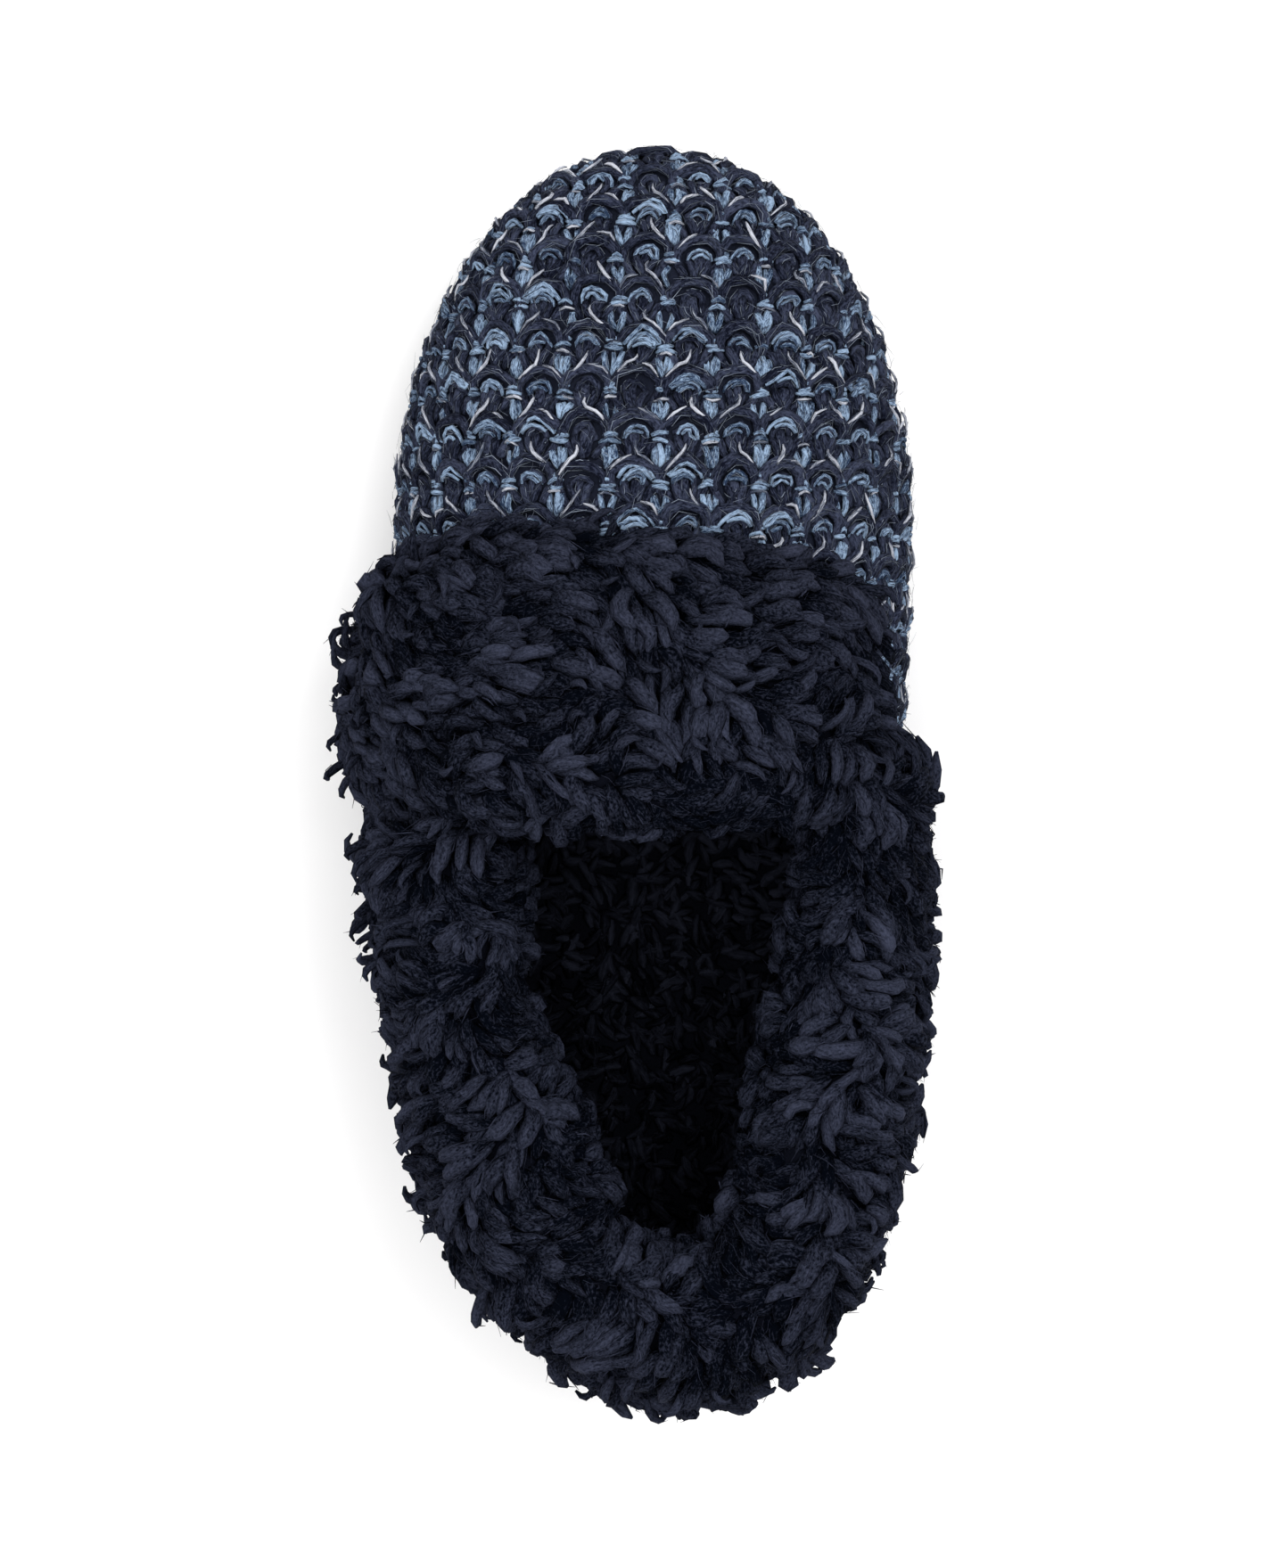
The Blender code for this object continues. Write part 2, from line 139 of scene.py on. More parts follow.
class NodeSheet:
    """The node tree of one material, with short ways to add to it."""

    def __init__(self, name: str) -> None:
        """Starts a material with its shader and output.

        Args:
            name: the material's name.
        """
        self.material = bpy.data.materials.new(name)
        self.material.use_nodes = True
        self.tree = self.material.node_tree
        self.shader = self.tree.nodes["Principled BSDF"]

    def node(self, kind: str, settings: dict, inputs: dict, output: int | str = 0) -> Value:
        """Adds any node.

        Args:
            kind: the node's type.
            settings: its properties, which are set first.
            inputs: numbers, colours or Values, by socket name or index.
            output: the socket to hand back.

        Returns:
            That output as a Value.
        """
        node = self.tree.nodes.new(kind)
        for key, setting in settings.items():
            setattr(node, key, setting)
        for key, given in inputs.items():
            self.feed(node.inputs[key], given)
        return Value(self, node.outputs[output])

    def feed(self, socket: bpy.types.NodeSocket, given: object) -> None:
        """Links a Value to a socket, or sets the socket's own number or colour.

        Args:
            socket: the socket.
            given: a Value, number, vector or colour.
        """
        if isinstance(given, Value):
            self.tree.links.new(given.socket, socket)
        elif socket.type == "RGBA":
            socket.default_value = (*given, 1.0)
        else:
            socket.default_value = given

    def attribute(self, name: str) -> Value:
        """A number that the mesh holds for each point."""
        return self.node("ShaderNodeAttribute", {"attribute_name": name}, {}, "Fac")

    def noise(self, vector: Value, scale: float, detail: float, roughness: float = 0.5) -> Value:
        """Adds a noise texture.

        Args:
            vector: where it is read.
            scale: its scale.
            detail: how many finer layers it has.
            roughness: how strong the finer layers are.

        Returns:
            Its value, about 0.5 on average.
        """
        given = {"Vector": vector, "Scale": scale, "Detail": detail, "Roughness": roughness}
        return self.node("ShaderNodeTexNoise", {}, given, "Fac")

    def stretched(self, vector: Value, scale: Triple) -> Value:
        """Coordinates stretched by a scale along each axis."""
        return self.node("ShaderNodeMapping", {}, {"Vector": vector, "Scale": scale})

    def coordinates(self, kind: str) -> Value:
        """Texture coordinates of one kind, UV or Object."""
        return self.node("ShaderNodeTexCoord", {}, {}, kind)

    def bands(self, vector: Value, axis: str, pitch: float) -> Value:
        """Adds soft bands that follow each other along one axis.

        Args:
            vector: where they are read.
            axis: the axis, X, Y or Z.
            pitch: how far apart they lie.

        Returns:
            Their height, from nought to one.
        """
        settings = {"wave_type": "BANDS", "bands_direction": axis, "wave_profile": "SIN"}
        inputs = {"Vector": vector, "Scale": WAVE_PERIOD / pitch, "Distortion": 0.0}
        return self.node("ShaderNodeTexWave", settings, inputs, "Fac")

    def blend(self, factor: Value | float, first: object, second: object) -> Value:
        """Mixes two colours.

        Args:
            factor: nought for the first, one for the second.
            first: a colour or Value.
            second: a colour or Value.

        Returns:
            The mixed colour.
        """
        settings = {"data_type": "RGBA"}
        return self.node("ShaderNodeMix", settings, {0: factor, 6: first, 7: second}, 2)

    def finish(
        self, bump: Value | None, strength: float, distance: float, **sockets: object
    ) -> bpy.types.Material:
        """Feeds the shader.

        Args:
            bump: the height that bends the surface's light, or None.
            strength: how much it shows.
            distance: the height's real size.
            **sockets: the shader's own sockets, with underscores for spaces.

        Returns:
            The finished material.
        """
        for name, given in sockets.items():
            self.feed(self.shader.inputs[name.replace("_", " ")], given)
        if bump is not None:
            inputs = {"Height": bump, "Strength": strength, "Distance": distance}
            self.feed(self.shader.inputs["Normal"], self.node("ShaderNodeBump", {}, inputs, "Normal"))
        return self.material


@dataclass(frozen=True)
class FibreFinish:
    """Wool-like fibre: streaks run along each strand, and every strand has a tone of its own; on the pile and
    the lining that tone also holds painted shade.
    """

    name: str
    dark: Triple
    light: Triple
    streak_along: float = 130.0
    streak_around: float = 8.0
    fine_along: float = 800.0
    fine_around: float = 26.0
    streaks: float = 1.6
    fibres: float = 1.5
    tones: float = 0.9
    level: float = 0.5
    bump: float = 0.7
    relief: float = 0.7 * MM
    roughness: float = 0.95
    gloss: float = 0.05

    def material(self) -> bpy.types.Material:
        """Makes the material, which reads the strand's UV map and its tone.

        Returns:
            The material.
        """
        sheet = NodeSheet(self.name)
        uv = sheet.coordinates("UV")
        coarse = sheet.stretched(uv, (self.streak_along, self.streak_around, 1.0))
        fine = sheet.stretched(uv, (self.fine_along, self.fine_around, 1.0))
        streaks, fibres = sheet.noise(coarse, 1.0, 3.0, 0.6), sheet.noise(fine, 1.0, 3.0, 0.7)
        tone = sheet.attribute("tone")
        spread = (streaks - 0.5) * self.streaks + (fibres - 0.5) * self.fibres + (tone - 0.5) * self.tones
        return sheet.finish(
            streaks * 0.55 + fibres * 0.45,
            self.bump,
            self.relief,
            Base_Color=sheet.blend((spread + self.level).clamped(), self.dark, self.light),
            Roughness=self.roughness,
            Specular_IOR_Level=self.gloss,
        )


@dataclass(frozen=True)
class BackingFinish:
    """The dark fabric under the knit's loops and the pile's locks."""

    name: str
    colour: Triple
    lift: Triple
    scale: float = 900.0
    patch_share: float = 0.12
    bump: float = 0.7
    relief: float = 0.8 * MM
    roughness: float = 0.95
    gloss: float = 0.02

    def material(self) -> bpy.types.Material:
        """Makes the material, matted at the scale of its fibres.

        Returns:
            The material.
        """
        sheet = NodeSheet(self.name)
        place = sheet.coordinates("Object")
        fibres = sheet.noise(place, self.scale, 5.0, 0.7)
        patches = sheet.noise(place, self.scale * self.patch_share, 2.0)
        return sheet.finish(
            fibres,
            self.bump,
            self.relief,
            Base_Color=sheet.blend((fibres * 0.7 + patches * 0.5 - 0.1).clamped(), self.colour, self.lift),
            Roughness=self.roughness,
            Specular_IOR_Level=self.gloss,
        )


@dataclass(frozen=True)
class RubberFinish:
    """Moulded rubber: fine grain, low ribs round the edge and a tread of slanted bars underneath."""

    name: str = "sole_rubber"
    colour: Triple = (0.016, 0.017, 0.022)
    worn: Triple = (0.034, 0.035, 0.041)
    bar_pitch: float = 6.0 * MM
    bar_slant: float = 0.62
    rib_pitch: float = 2.4 * MM
    tread_top_z: float = 2.2 * MM
    grain_scale: float = 2600.0
    scuff_scale: float = 70.0
    bump: float = 0.8
    relief: float = 1.1 * MM
    gloss: float = 0.4

    def material(self) -> bpy.types.Material:
        """Makes the material, which reads the sole's own coordinates.

        Returns:
            The material.
        """
        sheet = NodeSheet(self.name)
        place = sheet.coordinates("Object")
        slanted = {"Vector": place, "Rotation": (0.0, 0.0, self.bar_slant)}
        bars = sheet.bands(sheet.node("ShaderNodeMapping", {}, slanted), "Y", self.bar_pitch)
        ribs = sheet.bands(place, "Z", self.rib_pitch)
        underneath = sheet.node("ShaderNodeSeparateXYZ", {}, {0: place}, "Z") < self.tread_top_z
        grain = sheet.noise(place, self.grain_scale, 3.0)
        scuffs = sheet.noise(place, self.scuff_scale, 5.0, 0.7)
        return sheet.finish(
            bars * underneath * 2.0 + ribs * (1.0 - underneath) * 0.7 + grain * 0.16,
            self.bump,
            self.relief,
            Base_Color=sheet.blend((scuffs * 1.6 - 0.45).clamped(), self.colour, self.worn),
            Roughness=scuffs * 0.3 + 0.45,
            Specular_IOR_Level=self.gloss,
        )


@dataclass(frozen=True)
class FloorFinish:
    """A plain pale studio floor."""

    name: str = "studio_floor"
    colour: Triple = (0.865, 0.860, 0.860)
    roughness: float = 0.8

    def material(self) -> bpy.types.Material:
        """The material."""
        return NodeSheet(self.name).finish(None, 0.0, 0.0, Base_Color=self.colour, Roughness=self.roughness)


def eased(share: Array) -> Array:
    """A share that starts and ends gently."""
    return share * share * (3.0 - 2.0 * share)


def share_of(value: Array, start: float, end: float) -> Array:
    """How far value lies from start to end, from 0 to 1."""
    return np.clip((value - start) / (end - start), 0.0, 1.0)


def closing(value: Array, start: float, tip: Array, power: float) -> Array:
    """What is left of a size as a form closes from start to a round end at tip."""
    return np.maximum(0.0, 1.0 - share_of(value, start, tip) ** power) ** (1.0 / power)


def curve_between(t: Array, here: Array, there: Array, leaving: Array, arriving: Array) -> Array:
    """Points of a smooth curve from one point to the next.

    Args:
        t: how far along the curve, from 0 to 1.
        here: the first point.
        there: the next one.
        leaving: the slope at the first.
        arriving: the slope at the next.

    Returns:
        The points.
    """
    return (
        (2 * t**3 - 3 * t**2 + 1) * here
        + (t**3 - 2 * t**2 + t) * leaving
        + (3 * t**2 - 2 * t**3) * there
        + (t**3 - t**2) * arriving
    )


def smooth_run(points: Array, count: int) -> Array:
    """Draws a smooth line through given points.

    Args:
        points: the points, on the second last axis.
        count: how many points the line has.

    Returns:
        The line's points, evenly spread between the given ones.
    """
    last = points.shape[-2] - 1
    places = np.linspace(0.0, last, count)
    near = np.minimum(places.astype(int), last - 1)
    before, here = points[..., np.maximum(near - 1, 0), :], points[..., near, :]
    there, after = points[..., near + 1, :], points[..., np.minimum(near + 2, last), :]
    return curve_between((places - near)[:, None], here, there, (there - before) / 2.0, (after - here) / 2.0)


def unit(vectors: Array) -> Array:
    """Vectors of length one."""
    return vectors / np.maximum(np.linalg.norm(vectors, axis=-1, keepdims=True), 1e-12)


def runs_along(points: Array, least: float = 0.0) -> Array:
    """Measures lines from their first points.

    Args:
        points: the lines' points, on the second last axis.
        least: the shortest step that counts.

    Returns:
        How far along its line each point lies.
    """
    steps = np.maximum(np.linalg.norm(np.diff(points, axis=-2), axis=-1), least)
    return np.concatenate((np.zeros((*steps.shape[:-1], 1)), np.cumsum(steps, axis=-1)), axis=-1)


def read_line(places: Array, runs: Array, points: Array) -> Array:
    """The points of one line at places along it, where the line's own points lie at runs."""
    return np.stack([np.interp(places, runs, points[:, axis]) for axis in range(3)], axis=-1)


@dataclass(frozen=True)
class Section:
    """A cross-section of the last: its station, half width, centre line and ridge."""

    y: float
    half_width: float
    middle_x: float
    ridge_z: float
    ridge_x: float


@dataclass
class Last:
    """The form that every piece of the slipper is read off, as in the part's source."""

    toe_tip: float = 0.1395
    heel_end: float = -0.1165
    toe_break: float = 0.0540
    toe_slope: float = 0.0680
    heel_break: float = -0.0700
    toe_power: float = 2.14
    toe_slope_power: float = 2.30
    heel_power: float = 2.20
    gap: float = 0.0003
    wall: float = 0.0030
    widest_up: float = 0.0150
    turn_under: float = math.radians(30)
    side_tuck: float = 0.075
    end_tuck: float = 0.0040
    throat: float = -0.0030
    collar_side_z: float = 0.0690
    collar_heel_z: float = 0.0770
    collar_low: float = -0.0450
    heel_thickness: float = 0.0100
    forepart_thickness: float = 0.0080
    toe_spring: float = 0.0060
    spring_start: float = 0.0780
    arch_back: float = -0.0470
    arch_front: float = 0.0170
    shift: Array = field(default_factory=lambda: np.zeros(3))
    sections: tuple[Section, ...] = (
        Section(y=-0.1165, half_width=0.0405, middle_x=0.0042, ridge_z=0.1180, ridge_x=0.0042),
        Section(y=-0.0800, half_width=0.0435, middle_x=0.0030, ridge_z=0.1150, ridge_x=0.0028),
        Section(y=-0.0400, half_width=0.0480, middle_x=0.0010, ridge_z=0.1050, ridge_x=0.0000),
        Section(y=0.0000, half_width=0.0532, middle_x=-0.0004, ridge_z=0.0930, ridge_x=-0.0030),
        Section(y=0.0300, half_width=0.0558, middle_x=-0.0010, ridge_z=0.0835, ridge_x=-0.0050),
        Section(y=0.0600, half_width=0.0568, middle_x=-0.0010, ridge_z=0.0745, ridge_x=-0.0055),
        Section(y=0.0950, half_width=0.0565, middle_x=-0.0008, ridge_z=0.0660, ridge_x=-0.0045),
        Section(y=0.1395, half_width=0.0560, middle_x=-0.0006, ridge_z=0.0600, ridge_x=-0.0020),
    )

    def settle(self, low: Vector, high: Vector) -> None:
        """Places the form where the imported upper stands.

        Args:
            low: the upper's lowest corner.
            high: its highest corner.
        """
        y = np.linspace(self.heel_end, self.toe_tip, 400)
        widest = math.pi / 2
        left, right = self.point(y, -widest).min(axis=0), self.point(y, widest).max(axis=0)
        self.shift = np.array((
            (low.x + high.x - left[0] - right[0]) / 2,
            (low.y + high.y - self.heel_end - self.toe_tip) / 2,
            0.0,
        ))

    @property
    def wall_end(self) -> float:
        """The girth angle at which the wall ends underneath."""
        return math.pi / 2 + self.turn_under

    def stations(self, share: Array, out: float = 0.0) -> Array:
        """Works out stations that lie closer together towards both ends.

        Args:
            share: share of the way from heel to toe.
            out: how far out of the knit's face the ends lie.

        Returns:
            The stations.
        """
        heel, toe = self.heel_end - out, self.toe_tip + out
        return (heel + toe) / 2 - (toe - heel) / 2 * np.cos(math.pi * share)

    def column(self, y: Array, name: str) -> Array:
        """One size of the cross-sections, on a smooth curve through the table.

        Args:
            y: stations.
            name: the size's name.

        Returns:
            The size at each station.
        """
        at = np.array([row.y for row in self.sections])
        sizes = np.array([getattr(row, name) for row in self.sections])
        slopes = np.empty_like(sizes)
        slopes[1:-1] = (sizes[2:] - sizes[:-2]) / (at[2:] - at[:-2])
        slopes[0] = (sizes[1] - sizes[0]) / (at[1] - at[0])
        slopes[-1] = (sizes[-1] - sizes[-2]) / (at[-1] - at[-2])
        near = np.clip(np.searchsorted(at, y, side="right") - 1, 0, len(at) - 2)
        span = at[near + 1] - at[near]
        t = np.clip((y - at[near]) / span, 0.0, 1.0)
        return curve_between(t, sizes[near], sizes[near + 1], slopes[near] * span, slopes[near + 1] * span)

    def sole_top(self, y: Array) -> Array:
        """Works out the height of the outsole's top.

        Args:
            y: stations.

        Returns:
            The height at each.
        """
        spring = self.toe_spring * share_of(y, self.spring_start, self.toe_tip) ** 2
        step_down = eased(share_of(y, self.arch_back, self.arch_front))
        return spring + self.heel_thickness + (self.forepart_thickness - self.heel_thickness) * step_down

    def collar(self, y: Array) -> Array:
        """Height of the collar line."""
        rise = eased(share_of(y, self.collar_low, self.heel_end))
        return self.collar_side_z + (self.collar_heel_z - self.collar_side_z) * rise

    def point(self, y: Array, angle: Array, out: Array | float = 0.0) -> Array:
        """Points of the surface, moved out.

        Args:
            y: stations along the shoe.
            angle: angles round the girth: 0 at the ridge, a right angle at the widest lines.
            out: how far out of the knit's face.

        Returns:
            The points, with x, y and z on the last axis.
        """
        y, angle, out = np.broadcast_arrays(*(np.asarray(given, float) for given in (y, angle, out)))
        middle, ridge_x = self.column(y, "middle_x"), self.column(y, "ridge_x")
        round_end = closing(y, self.toe_break, self.toe_tip + out, self.toe_power)
        round_end = round_end * closing(-y, -self.heel_break, -self.heel_end + out, self.heel_power)
        half = np.copysign((self.column(y, "half_width") + out) * round_end, angle)
        toe = share_of(y, self.toe_break, self.toe_tip) ** 2
        heel = share_of(-y, -self.heel_break, -self.heel_end) ** 2
        foot_y = y + self.end_tuck * (heel - toe)
        widest_z = self.sole_top(foot_y) + self.gap + self.widest_up
        slope = closing(y, self.toe_slope, self.toe_tip + out, self.toe_slope_power)
        crown = (self.column(y, "ridge_z") + out - widest_z) * slope
        turn = np.abs(angle)
        rise = np.cos(np.minimum(turn, math.pi / 2))
        drop = np.maximum(0.0, turn - math.pi / 2) / self.turn_under
        lean = (ridge_x - middle) * round_end * rise**2
        reach = np.sin(np.minimum(turn, math.pi / 2)) * (1.0 - self.side_tuck * drop**2)
        x = middle + half * reach + lean
        z = widest_z + crown * rise - self.widest_up * drop
        return np.stack((x, y + (foot_y - y) * drop**2, z), axis=-1) + self.shift

    def angle_at(self, y: Array, z: Array, out: float = 0.0) -> Array:
        """The girth angle at which the wall reaches a height above its widest line."""
        ridge, widest = self.point(y, 0.0, out)[..., 2], self.point(y, math.pi / 2, out)[..., 2]
        return np.arccos(share_of(z, widest, ridge))


class Surface:
    """A curved face as a fine grid of points, which strands are laid on."""

    def __init__(self, points: Array, outward: float = 1.0) -> None:
        """Keeps the grid and works out its normals.

        Args:
            points: rows by columns by x, y, z.
            outward: 1, or -1 where the grid's own normals point inwards.
        """
        self.points = points
        self.along = np.gradient(points, axis=0)
        self.across = np.gradient(points, axis=1)
        normals = np.cross(self.along, self.across)
        self.normals = unit(normals) * outward
        self.areas = np.linalg.norm(normals, axis=-1)

    def read(self, grid: Array, row: Array, column: Array) -> Array:
        """Reads a grid between its points.

        Args:
            grid: values at the surface's points.
            row: places along the first axis.
            column: places along the second.

        Returns:
            The values there.
        """
        row = np.clip(row, 0.0, grid.shape[0] - 1.001)
        column = np.clip(column, 0.0, grid.shape[1] - 1.001)
        r, c = row.astype(int), column.astype(int)
        a, b = (row - r)[..., None], (column - c)[..., None]
        near = grid[r, c] * (1 - b) + grid[r, c + 1] * b
        far = grid[r + 1, c] * (1 - b) + grid[r + 1, c + 1] * b
        return near * (1 - a) + far * a

    def lay(self, row: Array, column: Array, height: Array | float) -> tuple[Array, Array]:
        """Points at a height over the surface.

        Args:
            row: places along the first axis.
            column: places along the second.
            height: how far out of the surface.

        Returns:
            The points, and the surface's normals there.
        """
        normal = unit(self.read(self.normals, row, column))
        return self.read(self.points, row, column) + normal * np.asarray(height)[..., None], normal

    def scatter(self, count: int, weight: Array, draws: Draws) -> tuple[Array, Array]:
        """Picks places spread evenly by area.

        Args:
            count: about how many.
            weight: how thickly each point of the grid is covered.
            draws: the random numbers.

        Returns:
            Rows and columns of the places.
        """
        chance = self.areas * weight
        rows, columns = [], []
        for strip in np.array_split(np.arange(chance.shape[1]), 6 + int(0.8 * math.sqrt(count))):
            sums = np.cumsum(chance[:, strip].sum(axis=1))
            share = round(count * sums[-1] / chance.sum())
            places = (np.arange(share) + draws.random(share)) / max(share, 1) * sums[-1]
            rows.append(np.interp(places, sums, np.arange(len(sums))))
            columns.append(strip[0] + draws.random(share) * (len(strip) - 0.01))
        row, column = np.concatenate(rows), np.concatenate(columns)
        covered = weight[np.rint(row).astype(int), column.astype(int)] > 0
        return row[covered], column[covered]

    def trace(
        self, row: Array, column: Array, heading: Array, curl: Array | float, length: Array, count: int
    ) -> tuple[Array, Array]:
        """Walks over the surface from each place, turning as it goes.

        Args:
            row: where each walk starts.
            column: where each walk starts.
            heading: its first direction; 0 is along the columns, a quarter turn along the rows.
            curl: how far it turns in all.
            length: how long it is.
            count: how many points it has.

        Returns:
            Rows and columns of the walks' points.
        """
        rows, columns = [row], [column]
        for step in range(count - 1):
            turned = heading + curl * step / (count - 1)
            stride = length / (count - 1)
            per_row = np.linalg.norm(self.read(self.along, row, column), axis=-1)
            per_column = np.linalg.norm(self.read(self.across, row, column), axis=-1)
            row = row + np.sin(turned) * stride / np.maximum(per_row, 1e-5)
            column = column + np.cos(turned) * stride / np.maximum(per_column, 1e-5)
            rows.append(row)
            columns.append(column)
        return np.stack(rows, axis=1), np.stack(columns, axis=1)


class Swirl:
    """A smooth random field in space, mostly between -1 and 1, that tufts and waves follow."""

    count: int = 8
    calm: float = 2.8

    def __init__(self, spacing: float, draws: Draws) -> None:
        """Draws the waves that make it up.

        Args:
            spacing: how far apart its swells lie.
            draws: the random numbers.
        """
        ways = unit(draws.normal(size=(self.count, 3)))
        self.waves = ways * 2 * math.pi / spacing * draws.uniform(0.7, 1.4, (self.count, 1))
        self.phases = draws.uniform(0.0, 2 * math.pi, self.count)

    def at(self, points: Array) -> Array:
        """The field at points in space."""
        return np.sin(points @ self.waves.T + self.phases).sum(axis=-1) / self.calm


class Strands:
    """Many tapered strands gathered into one joined mesh."""

    def __init__(self) -> None:
        """Starts with no strands."""
        self.points: list[Array] = []
        self.faces: list[Array] = []
        self.caps: list[Array] = []
        self.uvs: list[Array] = []
        self.tones: list[Array] = []
        self.count = 0

    def add(
        self,
        paths: Array,
        normals: Array,
        radii: Array,
        tones: Array,
        sides: int,
        flat: float = 1.0,
        lumps: Array | float = 1.0,
    ) -> None:
        """Adds round or flattened strands.

        Args:
            paths: strands by points by x, y, z.
            normals: the way each point of a strand faces.
            radii: half the width at each point.
            tones: the shade at each point, from 0 to 1.
            sides: how many sides a strand has.
            flat: its thickness as a share of its width.
            lumps: how far each corner swells out; strands by points by sides, or one number.
        """
        strands, steps = paths.shape[:2]
        side, up = self.sideways(paths, normals)
        turn = 2 * math.pi * np.arange(sides) / sides - math.pi / 2
        ring = np.cos(turn)[None, None, :, None] * side[:, :, None, :]
        ring = ring + flat * np.sin(turn)[None, None, :, None] * up[:, :, None, :]
        points = paths[:, :, None, :] + ring * (radii[:, :, None] * lumps)[..., None]
        base = self.count + np.arange(strands)[:, None, None] * steps * sides
        at = base + (np.arange(steps)[:, None] * sides + np.arange(sides)[None, :])[None]
        after = np.roll(at, -1, axis=2)
        quads = np.stack((at[:, :-1], at[:, 1:], after[:, 1:], after[:, :-1]), axis=-1)
        lengths = np.cumsum(np.linalg.norm(np.diff(paths, axis=1, prepend=paths[:, :1]), axis=-1), axis=1)
        lengths = lengths + np.arange(strands)[:, None] * 0.37
        near, far = lengths[:, :-1, None], lengths[:, 1:, None]
        low = np.broadcast_to(np.arange(sides) / sides, (strands, steps - 1, sides))
        high = low + 1.0 / sides
        run = np.broadcast_to(near, low.shape), np.broadcast_to(far, low.shape)
        corners = ((run[0], low), (run[1], low), (run[1], high), (run[0], high))
        self.uvs.append(np.stack([np.stack(corner, axis=-1) for corner in corners], axis=3).reshape(-1, 2))
        self.points.append(points.reshape(-1, 3))
        self.faces.append(quads.reshape(-1, 4))
        self.caps += [at[:, 0, :], at[:, -1, ::-1]]
        self.tones.append(np.repeat(tones.reshape(-1), sides))
        self.count += strands * steps * sides

    @staticmethod
    def sideways(paths: Array, normals: Array) -> tuple[Array, Array]:
        """Works out the ways sideways and up at each point of some strands.

        Args:
            paths: the strands' points.
            normals: the way these face.

        Returns:
            The two ways.
        """
        tangents = unit(np.gradient(paths, axis=1))
        side = unit(np.cross(tangents, normals))
        return side, np.cross(side, tangents)

    def hairs(self, paths: Array, normals: Array, width: float, tones: Array) -> None:
        """Adds fine hairs, three-sided and pointed at the end.

        Args:
            paths: hairs by points by x, y, z.
            normals: the way each point faces.
            width: half the width at the root.
            tones: the shade of each hair.
        """
        count, steps = paths.shape[:2]
        taper = np.full((count, 1), width) * np.linspace(1.0, 0.3, steps)
        self.add(paths, normals, taper, np.repeat(tones[:, None], steps, axis=1), 3)

    def wisps(
        self,
        paths: Array,
        normals: Array,
        radii: Array,
        tones: Array,
        width: float,
        loose: float,
        draws: Draws,
    ) -> None:
        """Adds one fine fibre along a part of each of some strands, loose at its ends.

        Args:
            paths: the strands' points.
            normals: the way they face.
            radii: their half widths.
            tones: the fibres' shades.
            width: a fibre's usual half width.
            loose: how far its ends stray.
            draws: the random numbers.
        """
        count, steps = radii.shape
        side, up = self.sideways(paths, normals)
        start, span = draws.uniform(0.10, 0.72, (count, 1)), draws.uniform(0.28, 0.45, (count, 1))
        share = (start + span * np.linspace(0.0, 1.0, 3)) * (steps - 1)
        low = np.minimum(share.astype(int), steps - 2)
        part = (share - low)[..., None]

        def along(values: Array) -> Array:
            """The values at the fibres' points."""
            near = np.take_along_axis(values, low[..., None], 1)
            return near + (np.take_along_axis(values, low[..., None] + 1, 1) - near) * part

        lean, twist = draws.uniform(0.1, math.pi - 0.1, (count, 1)), draws.normal(0.0, 0.7, (count, 1))
        turn = lean + twist * np.linspace(-0.5, 0.5, 3)
        ring = np.cos(turn)[..., None] * along(side) + 0.85 * np.sin(turn)[..., None] * along(up)
        fibres = along(paths) + ring * along(radii[..., None]) * 1.03
        stray = draws.normal(0.0, loose, (count, 2, 3)) * np.array((0.4, 1.0))[:, None]
        fibres[:, ::2] = fibres[:, ::2] + stray
        taper = width * draws.uniform(0.6, 1.4, (count, 1)) * np.array((0.7, 1.0, 0.3))
        self.add(fibres, along(normals), taper, along(tones[..., None])[..., 0], 3)

    def piece(self, name: str, finish: bpy.types.Material) -> bpy.types.Object:
        """Makes the joined mesh.

        Args:
            name: the piece's name.
            finish: its material.

        Returns:
            The piece.
        """
        quads = np.concatenate(self.faces)
        caps = [row for cap in self.caps for row in cap.tolist()]
        mesh = bpy.data.meshes.new(name)
        mesh.from_pydata(np.concatenate(self.points).tolist(), [], quads.tolist() + caps)
        uv = mesh.uv_layers.new(name="strand")
        flat = np.concatenate(self.uvs).reshape(-1)
        rest = np.zeros(2 * len(mesh.loops) - flat.size)
        uv.data.foreach_set("uv", np.concatenate((flat, rest)))
        tone = mesh.attributes.new("tone", "FLOAT", "POINT")
        tone.data.foreach_set("value", np.concatenate(self.tones).astype(np.float32))
        mesh.shade_smooth()
        mesh.materials.append(finish)
        return place(name, mesh)


def place(name: str, mesh: bpy.types.Mesh) -> bpy.types.Object:
    """Puts a mesh in the scene.

    Args:
        name: the piece's name.
        mesh: its mesh.

    Returns:
        The piece.
    """
    obj = bpy.data.objects.new(name, mesh)
    bpy.context.scene.collection.objects.link(obj)
    return obj


def settle_piece(obj: bpy.types.Object) -> None:
    """Rides a piece on the slipper's one body, and logs it.

    Args:
        obj: the piece.
    """
    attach(obj, "root")
    obj.data.calc_loop_triangles()
    LOG.info("%s: %d triangles", obj.name, len(obj.data.loop_triangles))


